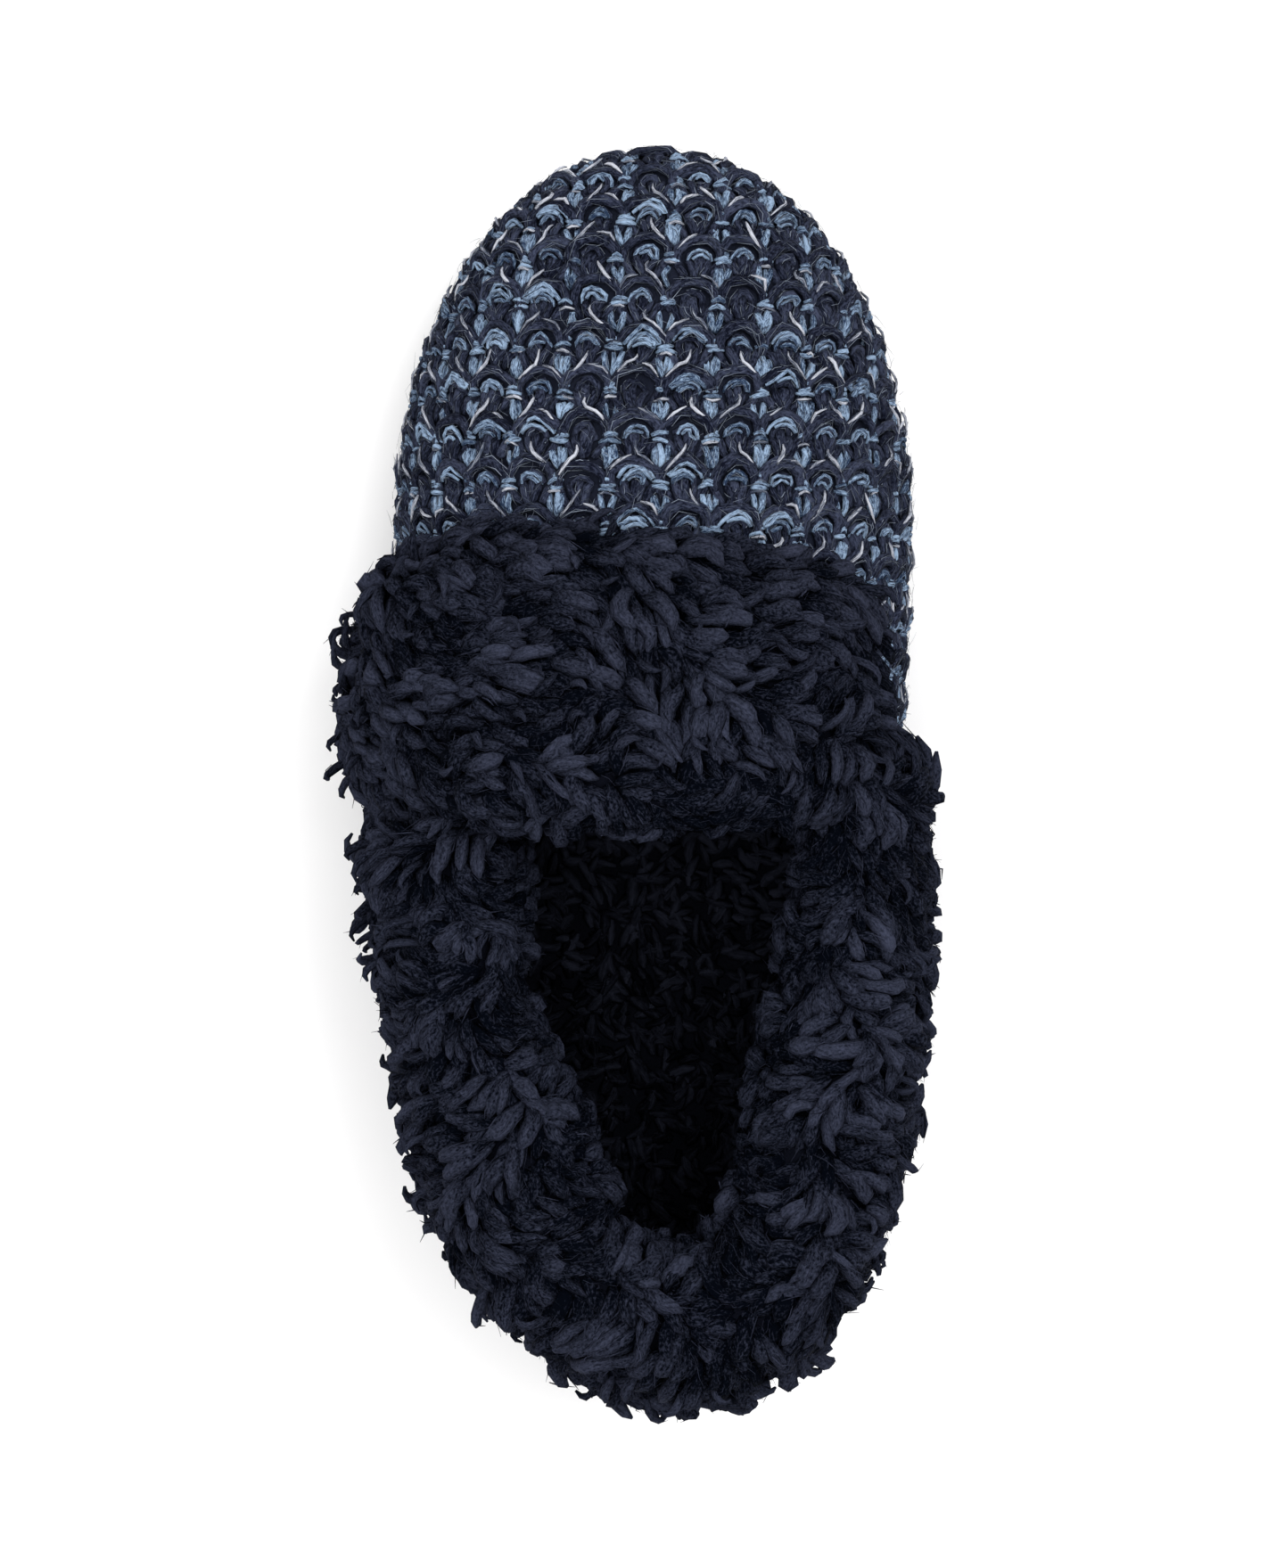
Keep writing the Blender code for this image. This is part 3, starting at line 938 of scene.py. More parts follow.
def sheet_mesh(
    rows: int,
    columns: int,
    shape: Callable[[Array, Array], Array],
    keep: Callable[[Array], Array] | None = None,
) -> bmesh.types.BMesh:
    """A grid bent to a shape.

    Args:
        rows: how many faces it has one way.
        columns: how many the other way.
        shape: gives points for arrays of shares of the two ways.
        keep: tells which points, given as an array, stay; all where it is None.

    Returns:
        The mesh.
    """
    bm = bmesh.new()
    bmesh.ops.create_grid(bm, x_segments=rows, y_segments=columns, size=1.0)
    flat = np.array([vert.co[:2] for vert in bm.verts])
    points = shape((flat[:, 0] + 1) / 2, (flat[:, 1] + 1) / 2)
    for vert, point in zip(bm.verts, points):
        vert.co = point
    if keep is not None:
        stays = keep(points)
        gone = [vert for vert, stay in zip(list(bm.verts), stays) if not stay]
        bmesh.ops.delete(bm, geom=gone, context="VERTS")
    bmesh.ops.remove_doubles(bm, verts=bm.verts, dist=1e-6)
    return bm


def as_wall(
    bm: bmesh.types.BMesh, name: str, thickness: float, outward: Callable[[Vector], Vector]
) -> bpy.types.Object:
    """Gives a sheet its thickness, inwards, and makes it a piece.

    Args:
        bm: the sheet.
        name: the piece's name.
        thickness: how thick it is.
        outward: tells for a face's middle which way is out.

    Returns:
        The piece.
    """
    bmesh.ops.recalc_face_normals(bm, faces=bm.faces)
    bm.normal_update()
    agree = sum(face.normal.dot(outward(face.calc_center_median())) for face in bm.faces)
    if agree < 0:
        bmesh.ops.reverse_faces(bm, faces=bm.faces)
    bm.normal_update()
    bmesh.ops.solidify(bm, geom=list(bm.faces), thickness=thickness)
    mesh = bpy.data.meshes.new(name)
    bm.to_mesh(mesh)
    bm.free()
    mesh.shade_smooth()
    return place(name, mesh)


class Yarn(Enum):
    """The yarns that the knit is made of."""

    NAVY = "navy_yarn"
    BLUE = "blue_yarn"
    PALE = "pale_strand"


@dataclass(frozen=True)
class Stitch:
    """A strand of the knit's chart: points across, towards the toe and up, in mm from the loop's peak."""

    yarn: Yarn
    path: tuple[Triple, ...]
    radius: float
    ends: float
    chance: float = 1.0
    tone: float = 0.5
    steps: int = 5
    sides: int = 5
    wisps: int = 1

    def taper(self) -> Array:
        """How thick the strand is at its points, as a share of its radius."""
        swell = np.sin(math.pi * np.linspace(0.06, 0.94, self.steps)) ** 0.6
        return self.ends + (1 - self.ends) * swell

    def mirror_line(self) -> float:
        """The line that the strand is mirrored at: its loop's middle, or midway to the next column."""
        return 0.0 if np.mean(self.path, axis=0)[0] < 3.8 else 5.55


CHART = (
    # The loop's arch
    Stitch(
        Yarn.NAVY,
        ((-4.9, -7.4, -0.9), (-5.2, -4.6, -0.1), (-3.5, -2.2, 0.6), (0.0, -0.8, 0.7), (3.5, -2.2, 0.6),
         (5.2, -4.6, -0.1), (4.9, -7.4, -0.9)),
        1.28, 0.7, steps=10, sides=6, wisps=9,
    ),
    # Its two legs, and the thick strand behind them
    Stitch(
        Yarn.NAVY,
        ((-2.1, -5.6, -0.5), (-1.6, -7.6, 0.3), (-0.9, -9.4, 0.4), (-0.2, -11.2, -0.2)),
        1.02, 0.7, wisps=3,
    ),
    Stitch(
        Yarn.NAVY,
        ((2.2, -5.6, -0.5), (1.7, -7.6, 0.3), (0.9, -9.4, 0.4), (0.3, -11.2, -0.2)),
        1.02, 0.7, wisps=3,
    ),
    Stitch(
        Yarn.NAVY,
        ((0.0, -4.4, -1.0), (0.1, -6.8, -0.3), (-0.1, -9.0, -0.3), (0.0, -11.0, -0.9)),
        1.50, 0.7, wisps=2,
    ),
    # The small arch within, and the shoulders outside
    Stitch(
        Yarn.NAVY,
        ((-2.4, -6.2, -0.7), (-1.7, -4.4, 0.0), (0.0, -3.6, 0.2), (1.7, -4.4, 0.0), (2.4, -6.2, -0.7)),
        0.95, 0.7, steps=6, wisps=3,
    ),
    Stitch(
        Yarn.NAVY, ((-4.6, -6.2, -1.1), (-3.5, -8.6, -0.4), (-2.0, -10.8, -0.7)), 1.25, 0.7, steps=4, wisps=2
    ),
    Stitch(
        Yarn.NAVY, ((4.6, -6.2, -1.1), (3.5, -8.6, -0.4), (2.0, -10.8, -0.7)), 1.25, 0.7, steps=4, wisps=2
    ),
    # Pale strands down both slopes of the arch
    Stitch(
        Yarn.PALE,
        ((0.2, 2.8, 1.4), (0.7, 0.8, 1.8), (2.5, -1.0, 1.8), (4.6, -3.2, 1.0)),
        0.40, 0.08, 0.62, steps=6,
    ),
    Stitch(Yarn.PALE, ((-4.9, -3.2, 0.9), (-3.2, -1.1, 1.7), (-0.9, -0.1, 1.5)), 0.36, 0.08, 0.50),
    # Blue inside the arch, and now and then a broad blue peak over it
    Stitch(
        Yarn.BLUE,
        ((-2.5, -6.6, -0.3), (-2.2, -4.8, 0.6), (0.0, -3.8, 1.0), (2.2, -4.8, 0.6), (2.4, -6.4, -0.1),
         (1.4, -5.6, 0.7), (0.0, -4.9, 1.0), (-1.4, -5.7, 0.6)),
        0.52, 0.5, 0.76, 0.36, steps=12, wisps=4,
    ),
    Stitch(
        Yarn.BLUE,
        ((-4.0, -5.0, 0.2), (-2.2, -3.2, 1.0), (0.0, -1.9, 1.4), (2.3, -3.2, 1.0), (4.0, -5.0, 0.3),
         (2.2, -4.2, 1.0), (0.0, -3.1, 1.4), (-2.2, -4.3, 0.9)),
        0.62, 0.5, 0.28, 0.60, steps=12, wisps=6,
    ),
    # Short bars between two columns of loops
    Stitch(
        Yarn.BLUE, ((4.5, -4.6, -0.2), (5.55, -4.4, 0.5), (6.6, -4.6, -0.2)), 0.55, 0.5, 0.85, 0.45, wisps=2
    ),
    Stitch(Yarn.BLUE, ((4.0, -5.8, -0.2), (5.55, -5.6, 0.6), (7.1, -5.8, -0.2)), 0.58, 0.45, 0.95, wisps=2),
    Stitch(
        Yarn.BLUE, ((3.6, -7.0, -0.3), (5.55, -6.8, 0.6), (7.5, -7.0, -0.3)), 0.60, 0.45, 0.95, 0.55, wisps=2
    ),
    Stitch(Yarn.PALE, ((3.9, -7.7, 0.1), (5.6, -7.5, 0.8), (7.2, -7.7, 0.1)), 0.34, 0.2, 0.50),
    # Plump strands in the valley below the bars
    Stitch(
        Yarn.BLUE, ((5.1, -13.0, -1.0), (4.5, -10.9, -0.1), (4.1, -8.3, -0.3)), 1.00, 0.6, 0.90, 0.38, wisps=3
    ),
    Stitch(
        Yarn.BLUE, ((5.55, -13.2, -0.8), (5.5, -11.0, 0.2), (5.6, -8.3, 0.0)), 0.78, 0.6, 0.75, 0.52, wisps=2
    ),
    Stitch(
        Yarn.BLUE, ((6.0, -13.0, -1.0), (6.6, -10.9, -0.1), (7.0, -8.3, -0.3)), 1.00, 0.6, 0.90, 0.38, wisps=3
    ),
)

# The back seam's two stitches, each with the height in mm at which its first one lies
SEAM = (
    (
        Stitch(
            Yarn.NAVY,
            ((-8.0, -1.4, -0.7), (-4.0, 0.2, 0.5), (0.0, 1.0, 0.8), (4.0, 0.2, 0.5), (8.0, -1.4, -0.7)),
            1.15, 0.6, steps=9, sides=6, wisps=4,
        ),
        2.0,
    ),
    (
        Stitch(
            Yarn.BLUE,
            ((-5.0, -0.9, -0.4), (-2.5, 0.3, 0.5), (0.0, 0.9, 0.8), (2.5, 0.3, 0.5), (5.0, -0.9, -0.4)),
            0.62, 0.5, tone=0.3, steps=9, wisps=2,
        ),
        4.2,
    ),
)


@dataclass
class KnitUpper:
    """The knitted upper: a dark backing, with every loop of marled yarn laid on it."""

    last: Last
    loop_width: float = 11.1 * MM
    loop_length: float = 10.5 * MM
    loop_middle: float = 0.45
    loop_tail: float = 0.55
    columns: int = 12
    rows_ahead: int = 11
    rows_behind: int = 18
    row_start_y: float = 0.0600
    sheet_rows: int = 440
    sheet_reach: float = 150 * MM
    sheet_pitch: float = 1.0 * MM
    edge_margin: float = 1.0 * MM
    cuff_back: float = 12 * MM
    cuff_front_y: float = 40 * MM
    cuff_left: float = 12 * MM
    cuff_right: float = 44 * MM
    cuff_drop: float = 22 * MM
    backing_out: float = -1.4 * MM
    backing_thickness: float = 1.4 * MM
    backing_faces: tuple[int, int] = (84, 64)
    wander: float = 0.30
    slip: float = 0.32
    hairs: int = 1600
    hair_width: float = 0.05 * MM
    fibre_width: float = 0.075 * MM
    fibre_stray: float = 0.35 * MM
    seam_pitch: float = 4.4 * MM
    seed: int = 11
    navy: FibreFinish = FibreFinish(
        "navy_yarn",
        dark=(0.0022, 0.0031, 0.0082),
        light=(0.0375, 0.0450, 0.0765),
        streak_along=300.0,
        streak_around=5.0,
        fine_along=900.0,
        fine_around=18.0,
        streaks=1.6,
        fibres=3.6,
        tones=0.6,
        level=0.36,
    )
    blue: FibreFinish = FibreFinish(
        "blue_yarn",
        dark=(0.0130, 0.0245, 0.0540),
        light=(0.2400, 0.3310, 0.4620),
        streak_along=300.0,
        streak_around=4.0,
        fine_along=950.0,
        fine_around=17.0,
        streaks=2.0,
        fibres=4.4,
        tones=0.9,
    )
    pale: FibreFinish = FibreFinish(
        "pale_strand",
        dark=(0.0450, 0.0560, 0.0850),
        light=(0.4350, 0.4520, 0.5100),
        streak_along=300.0,
        streak_around=4.0,
        fine_along=900.0,
        fine_around=10.0,
        streaks=2.8,
        fibres=2.6,
    )
    fuzz: FibreFinish = FibreFinish(
        "knit_fuzz",
        dark=(0.0045, 0.0058, 0.0110),
        light=(0.2400, 0.2800, 0.3500),
        streaks=0.3,
        fibres=0.2,
        tones=1.0,
    )
    backing: BackingFinish = BackingFinish(
        "knit_backing", colour=(0.0030, 0.0040, 0.0090), lift=(0.0180, 0.0215, 0.0360)
    )

    def __post_init__(self) -> None:
        """Unrolls the form into a sheet of stations by distances from the ridge."""
        self.draws = np.random.default_rng(self.seed)
        self.gathered = {yarn: Strands() for yarn in Yarn}
        self.loose = Strands()
        self.stations = self.last.stations(np.linspace(0.0, 1.0, self.sheet_rows))
        angles = np.linspace(-self.last.wall_end, self.last.wall_end, 361)
        fine = self.last.point(self.stations[:, None], angles[None, :])
        girth = runs_along(fine)
        ridge = len(angles) // 2
        girth = girth - girth[:, ridge : ridge + 1]
        self.left_end, self.right_end = girth[:, 0], girth[:, -1]
        places = np.arange(-self.sheet_reach, self.sheet_reach + self.sheet_pitch / 2, self.sheet_pitch)
        lines = [read_line(places, runs, line) for runs, line in zip(girth, fine)]
        self.sheet = Surface(np.array(lines), outward=-1.0)

    def on_sheet(self, y: Array, across: Array) -> tuple[Array, Array]:
        """Rows and columns of the sheet for stations and distances from the ridge."""
        rows = np.interp(y, self.stations, np.arange(len(self.stations)))
        return rows, (across + self.sheet_reach) / self.sheet_pitch

    def ends_at(self, y: Array) -> tuple[Array, Array]:
        """How far from the ridge the wall's left and right edges lie at stations."""
        return np.interp(y, self.stations, self.left_end), np.interp(y, self.stations, self.right_end)

    def shows(self, y: Array, across: Array) -> Array:
        """Tells where the knit isn't under a cuff, above the collar or beyond the sole's edge.

        Args:
            y: stations.
            across: distances from the ridge.

        Returns:
            True where the knit shows.
        """
        left, right = self.ends_at(y)
        points, _ = self.sheet.lay(*self.on_sheet(y, across), np.zeros_like(y))
        on_wall = (across > left + self.edge_margin) & (across < right - self.edge_margin)
        ahead = y > self.last.throat - self.cuff_back
        covered = (y < self.cuff_front_y) & (across > left + self.cuff_left) & (across < self.cuff_right)
        below_collar = points[..., 2] < self.last.collar(y) - self.cuff_drop
        return on_wall & np.where(ahead, ~covered & ((y > 0.0) | below_collar), below_collar)

    def peaks(self) -> tuple[Array, Array, Array]:
        """Works out where the loops' peaks lie.

        Returns:
            Each loop's column, its distance from the ridge and its distance along its column.
        """
        found = []
        for column in range(-self.columns, self.columns + 1):
            across = column * self.loop_width
            runs = self.column_run(across)
            for row in range(-self.rows_behind, self.rows_ahead + 1):
                run = row * self.loop_length
                middle = np.interp(run - self.loop_middle * self.loop_length, runs, self.stations)
                starts = runs[0] < run - self.loop_tail * self.loop_length
                inside = starts and run < runs[-1] - self.edge_margin
                if inside and self.shows(np.array([middle]), np.array([across]))[0]:
                    found.append((column, across, run))
        columns, across, runs = np.array(found).T
        return columns, across, runs

    def column_run(self, across: float) -> Array:
        """Measures a column of loops.

        Args:
            across: its distance from the ridge.

        Returns:
            Distances along it at the stations, from the row at row_start_y.
        """
        places = self.on_sheet(self.stations, np.full(len(self.stations), across))
        runs = runs_along(self.sheet.read(self.sheet.points, *places), least=1e-6)
        return runs - np.interp(self.row_start_y, self.stations, runs)

    def lay_stitch(self, stitch: Stitch, loops: tuple[Array, ...], drift: Array, flip: Array) -> None:
        """Lays one strand of the chart in every loop.

        Args:
            stitch: the strand.
            loops: the loops' columns, distances from the ridge and distances along.
            drift: how far each loop lies off its place, in mm.
            flip: 1, or -1 where a loop is mirrored.
        """
        columns, across, runs = loops
        count = len(columns)
        picked = self.draws.random(count) < stitch.chance
        path = np.repeat(np.array(stitch.path)[None], count, axis=0)
        path = path + self.draws.normal(0.0, self.slip, path.shape) * (1.0, 1.0, 0.5)
        middle = stitch.mirror_line()
        path[:, :, 0] = (path[:, :, 0] - middle) * flip[:, None] + middle
        path = smooth_run(path + drift[:, None, :], stitch.steps)
        y = np.empty(path.shape[:2])
        for column in np.unique(columns):
            same = columns == column
            along = self.column_run(column * self.loop_width)
            places = runs[same][:, None] + path[same][:, :, 1] * MM
            y[same] = np.interp(places, along, self.stations)
            picked[same] &= (places > along[0]).all(axis=1)
        sideways = across[:, None] + path[:, :, 0] * MM
        left, right = self.ends_at(y)
        picked &= ((sideways > left - 0.5 * MM) & (sideways < right + 0.5 * MM)).all(axis=1)
        points, normals = self.sheet.lay(*self.on_sheet(y, sideways), (path[:, :, 2] - 0.4) * MM)
        size = self.draws.uniform(0.78, 1.20, (count, 1))
        tones = np.clip(self.draws.normal(stitch.tone, 0.24, (count, 1)), 0, 1) * np.ones((1, stitch.steps))
        keep = np.flatnonzero(picked)
        radii = stitch.radius * MM * stitch.taper() * size
        self.lay_yarn(stitch, points[keep], normals[keep], radii[keep], tones[keep])

    def lay_yarn(self, stitch: Stitch, points: Array, normals: Array, radii: Array, tones: Array) -> None:
        """Lays lengths of yarn with fine fibres along them.

        Args:
            stitch: what they are.
            points: their points.
            normals: the way these face.
            radii: their half widths.
            tones: their shades.
        """
        count, steps = radii.shape
        lumps = self.draws.uniform(0.84, 1.16, (count, steps, stitch.sides))
        self.gathered[stitch.yarn].add(points, normals, radii, tones, stitch.sides, 0.85, lumps)
        for _ in range(stitch.wisps):
            shade = self.draws.choice((0.0, 0.1, 0.3, 0.6, 1.0), (count, 1)) * np.ones((1, steps))
            self.loose.wisps(points, normals, radii, shade, self.fibre_width, self.fibre_stray, self.draws)

    def heel_patch(self) -> Surface:
        """Reads off the wall round the middle of the heel.

        Returns:
            It as a surface of rows up the heel and columns across it, two to a millimetre.
        """
        last = self.last
        y = last.heel_end + 30 * MM * np.linspace(0.0, 1.0, 300) ** 2.5
        places = np.linspace(0.0, 13.0, 27) * MM
        rows = []
        for angle in np.linspace(last.wall_end, math.radians(74), 60):
            halves = []
            for side in (-1.0, 1.0):
                line = last.point(y, side * angle)
                halves.append(read_line(places, side * (line[:, 0] - line[0, 0]), line))
            rows.append(np.concatenate((halves[0][:0:-1], halves[1])))
        return Surface(np.array(rows), outward=-1.0)

    def back_seam(self) -> None:
        """Joins the knit up the middle of the heel with a ladder of short arched stitches."""
        patch = self.heel_patch()
        middle = patch.points.shape[1] // 2
        heights = runs_along(patch.points[:, middle])
        for stitch, start in SEAM:
            places = np.arange(start * MM, heights[-1], self.seam_pitch)[:, None]
            path = np.repeat(np.array(stitch.path)[None], len(places), axis=0)
            path = path + self.draws.normal(0.0, 0.3, path.shape) * (1.0, 1.0, 0.4)
            path = smooth_run(path, stitch.steps)
            rows = np.interp(places + path[..., 1] * MM, heights, np.arange(len(heights)))
            points, normals = patch.lay(rows, path[..., 0] * 2.0 + middle, path[..., 2] * MM)
            size = self.draws.uniform(0.86, 1.16, places.shape)
            tones = np.clip(self.draws.normal(stitch.tone, 0.20, places.shape), 0, 1)
            radii = stitch.radius * MM * stitch.taper() * size
            self.lay_yarn(stitch, points, normals, radii, tones * np.ones_like(radii))

    def yarns(self) -> None:
        """Lays every strand of the chart, one joined piece for each yarn."""
        loops = self.peaks()
        count = len(loops[0])
        LOG.info("loops: %d", count)
        drift = self.draws.normal(0.0, self.wander, (count, 3)) * (1.0, 1.0, 0.4)
        flip = self.draws.choice((-1.0, 1.0), count)
        for stitch in CHART:
            self.lay_stitch(stitch, loops, drift, flip)
        self.back_seam()
        finishes = {Yarn.NAVY: self.navy, Yarn.BLUE: self.blue, Yarn.PALE: self.pale}
        for yarn, strands in self.gathered.items():
            settle_piece(strands.piece(yarn.value, finishes[yarn].material()))

    def fuzz_hairs(self) -> None:
        """Scatters fine hairs over the knit."""
        y = np.repeat(self.stations[:, None], self.sheet.points.shape[1], axis=1)
        places = np.arange(self.sheet.points.shape[1]) * self.sheet_pitch - self.sheet_reach
        seen = self.shows(y, np.repeat(places[None, :], len(self.stations), axis=0))
        row, column = self.sheet.scatter(self.hairs, seen.astype(float), self.draws)
        count = len(row)
        heading = self.draws.uniform(0, 2 * math.pi, count)
        curl = self.draws.normal(0, 1.4, count)
        length = self.draws.uniform(2.0, 6.0, count) * MM
        rows, columns = self.sheet.trace(row, column, heading, curl, length, 3)
        start, rise = self.draws.uniform(0.5, 1.7, (count, 1)), self.draws.uniform(-0.6, 1.2, (count, 1))
        points, normals = self.sheet.lay(rows, columns, (start + rise * np.linspace(0, 1, 3)) * MM)
        self.loose.hairs(points, normals, self.hair_width, self.draws.choice((0.0, 0.3, 0.6, 1.0), count))
        settle_piece(self.loose.piece("knit_fuzz", self.fuzz.material()))

    def backing_wall(self) -> None:
        """Makes the dark wall behind the loops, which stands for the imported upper."""
        last = self.last

        def shape(along: Array, round_: Array) -> Array:
            """Points of the wall's outside."""
            angle = -last.wall_end + 2 * last.wall_end * round_
            return last.point(last.stations(along, self.backing_out), angle, self.backing_out)

        def keep(points: Array) -> Array:
            """Tells which points lie below the collar or ahead of the throat."""
            y = points[:, 1] - last.shift[1]
            return (y > last.throat) | (points[:, 2] < last.collar(y) + 0.5 * MM)

        def outward(middle: Vector) -> Vector:
            """The way out of the wall."""
            return Vector((middle.x - last.shift[0], 0.0, max(0.0, middle.z - 40 * MM)))

        sheet = sheet_mesh(*self.backing_faces, shape, keep)
        piece = as_wall(sheet, "knit_wall", self.backing_thickness, outward)
        piece.data.materials.append(self.backing.material())
        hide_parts("upper")
        settle_piece(piece)

    def build(self) -> None:
        """Makes the whole upper."""
        self.backing_wall()
        self.yarns()
        self.fuzz_hairs()


@dataclass(frozen=True)
class Fold:
    """A corner of a cuff's profile: its distance along or down the wall, and out of it."""

    along: float
    out: float


@dataclass(frozen=True)
class Lie:
    """How a cuff lies at a share of its run: how full it is outside and inside, and how far it reaches."""

    share: float
    fullness: float
    inner: float = 1.0
    reach: float = 1.0


@dataclass
class PileCuff:
    """A cuff of deep pile: a backing sheet with locks, curls and loose hairs laid over it."""

    last: Last
    name: str
    node: str
    seed: int
    profile: tuple[Fold, ...]
    lie: tuple[Lie, ...]
    locks: int
    under_locks: int
    curls: int
    hairs: int
    backing_thickness: float = 3.0 * MM
    backing_faces: tuple[int, int] = (70, 36)
    lock_width: float = 2.02 * MM
    lock_steps: int = 6
    lock_sides: int = 5
    heading_spread: float = 0.19
    curl_spread: float = 0.62
    tuft_height: float = 2.3 * MM
    swirl_spacing: float = 34 * MM
    tuft_spacing: float = 20 * MM
    bend_spacing: float = 24 * MM
    wisps: int = 2
    wisp_width: float = 0.17 * MM
    wisp_stray: float = 0.95 * MM
    curl_wisp_width: float = 0.10 * MM
    curl_wisp_stray: float = 0.7 * MM
    hair_width: float = 0.07 * MM
    most_locks: int = 1300
    pile: FibreFinish = FibreFinish(
        "pile",
        dark=(0.0007, 0.0012, 0.0027),
        light=(0.0308, 0.0350, 0.0572),
        streak_along=160.0,
        streak_around=9.0,
        fine_along=1300.0,
        fine_around=20.0,
        streaks=0.9,
        fibres=2.3,
        tones=1.2,
        level=0.44,
        gloss=0.01,
    )
    backing: BackingFinish = BackingFinish(
        "pile_backing", colour=(0.0006, 0.0008, 0.0018), lift=(0.0042, 0.0050, 0.0094)
    )

    def __post_init__(self) -> None:
        """Works out the cuff's face, its swirls, its tufts and its bends."""
        self.draws = np.random.default_rng(self.seed)
        self.face = self.make_face()
        self.swirls = Swirl(self.swirl_spacing, self.draws)
        self.tufts = Swirl(self.tuft_spacing, self.draws)
        self.bends = Swirl(self.bend_spacing, self.draws)

    def spots(self, row: Array, column: Array) -> Array:
        """Points of the face at places on it."""
        return self.face.read(self.face.points, row, column)

    def swirl(self, row: Array, column: Array) -> Array:
        """How far the pile turns off its way at places of the face, with a little for each lock."""
        return self.swirls.at(self.spots(row, column)) + self.draws.normal(0.0, self.heading_spread, len(row))

    def lie_at(self, share: Array, name: str) -> Array:
        """One size of the cuff's lie, read between the rows of its table.

        Args:
            share: how far along the cuff.
            name: the size's name.

        Returns:
            The size at each place.
        """
        return np.interp(share, [row.share for row in self.lie], [getattr(row, name) for row in self.lie])

    def smooth_profile(self, count: int) -> Array:
        """The profile as a smooth line of that many points, along and out."""
        return smooth_run(np.array([(fold.along, fold.out) for fold in self.profile]), count)

    def make_face(self) -> Surface:
        """The cuff's outside as a surface."""
        raise NotImplementedError

    def comb(self, row: Array, column: Array) -> tuple[Array, Array, Array]:
        """How the pile lies at places of the face.

        Args:
            row: places along the cuff.
            column: places round its profile.

        Returns:
            The locks' headings, lengths and how far their tips stand up.
        """
        raise NotImplementedError

    def thickness(self) -> Array:
        """Works out how thickly the pile covers the face.

        Returns:
            The thickness at each of its points, thin near the inner hem.
        """
        cover = np.ones(self.face.areas.shape)
        cover[:, : cover.shape[1] // 14] = 0.35
        return cover

    def lay_under_locks(self, count: int, strands: Strands) -> None:
        """Lays short plain locks close to the backing, so that no bare cloth shows between the others.

        Args:
            count: how many.
            strands: where they are gathered.
        """
        draws = self.draws
        row, column = self.face.scatter(count, self.thickness(), draws)
        count = len(row)
        heading, length, _ = self.comb(row, column)
        curl = draws.normal(0.0, 0.8, count)
        rows, columns = self.face.trace(row, column, heading, curl, length * 0.9, 4)
        height = draws.uniform(-0.6, 0.5, (count, 1)) * MM + np.array((-0.6, 0.4, 0.4, -0.2)) * MM
        points, normals = self.lay(rows, columns, height)
        radii = self.lock_width * draws.uniform(0.9, 1.4, (count, 1)) * np.array((0.6, 1.0, 0.9, 0.40))
        # Painted shade: these low locks are kept darker than the locks over them, and darker still at their
        # roots, for the shade under the pile.
        tones = draws.normal(0.16, 0.08, (count, 1)) + np.array((-0.1, 0.0, 0.05, 0.1))
        strands.add(points, normals, radii, np.clip(tones, 0.0, 1.0), 4, 0.7)

    def lay_locks(self, count: int, strands: Strands) -> None:
        """Lays locks over the face.

        Args:
            count: how many.
            strands: where they are gathered.
        """
        draws, steps, sides = self.draws, self.lock_steps, self.lock_sides
        row, column = self.face.scatter(count, self.thickness(), draws)
        count = len(row)
        heading, length, stand = self.comb(row, column)
        curl = 0.7 * self.bends.at(self.spots(row, column)) + draws.normal(0.0, self.curl_spread, count)
        across = column / self.face.areas.shape[1]
        back = 0.45 * eased(share_of(across, 0.02, 0.20)) * eased(share_of(across, 0.98, 0.80))
        start = heading - 0.5 * curl
        rows, columns = self.face.trace(row, column, start + math.pi, 0.0, back * length, 2)
        row, column = rows[:, 1], columns[:, 1]
        rows, columns = self.face.trace(row, column, start, curl, length, steps)
        t = np.linspace(0.0, 1.0, steps)
        tuft = np.minimum(np.abs(self.tufts.at(self.spots(row, column))), 1.0)[:, None] * 1.6 - 0.8
        root = tuft * self.tuft_height + draws.uniform(-1.1, 1.0, (count, 1)) * MM
        hump = draws.uniform(0.4, 2.0, (count, 1)) * MM
        tuck = draws.uniform(0.2, 2.0, (count, 1)) * MM
        height = root + stand[:, None] * t**1.6 + hump * np.sin(math.pi * t)
        points, normals = self.lay(rows, columns, height - tuck * share_of(t, 0.5, 1.0) ** 2)
        wave = np.sin(t * draws.uniform(2.0, 6.0, (count, 1)) + draws.uniform(0, 6.3, (count, 1)))
        side = unit(np.cross(np.gradient(points, axis=1), normals))
        points = points + side * (wave * 0.5 * MM)[..., None]
        jitter = draws.normal(0.0, 0.22 * MM, (count, steps - 1, 3))
        points[:, 1:] = points[:, 1:] + np.cumsum(jitter, axis=1)
        blunt = np.interp(t, (0.0, 0.2, 0.45, 0.75, 0.9, 1.0), (0.45, 0.82, 1.0, 0.90, 0.68, 0.22))
        radii = self.lock_width * draws.uniform(0.60, 1.22, (count, 1)) * blunt
        # Painted shade: each lock is darker towards its root, where it lies under its neighbours, and locks
        # rooted low in the creases between tufts are darker too; the rest of the tone differs at random.
        tones = draws.normal(0.28, 0.09, (count, 1)) + 0.24 * tuft + 0.34 * (t - 0.45)
        ridges = draws.uniform(0.80, 1.16, (count, 1, sides))
        lumps = ridges * draws.uniform(0.90, 1.10, (count, steps, sides))
        strands.add(points, normals, radii, np.clip(tones, 0.0, 1.0), sides, 0.90, lumps)
        for _ in range(self.wisps):
            shade = np.clip(tones + draws.normal(0.08, 0.22, (count, 1)), 0.0, 1.0)
            strands.wisps(points, normals, radii, shade, self.wisp_width, self.wisp_stray, draws)

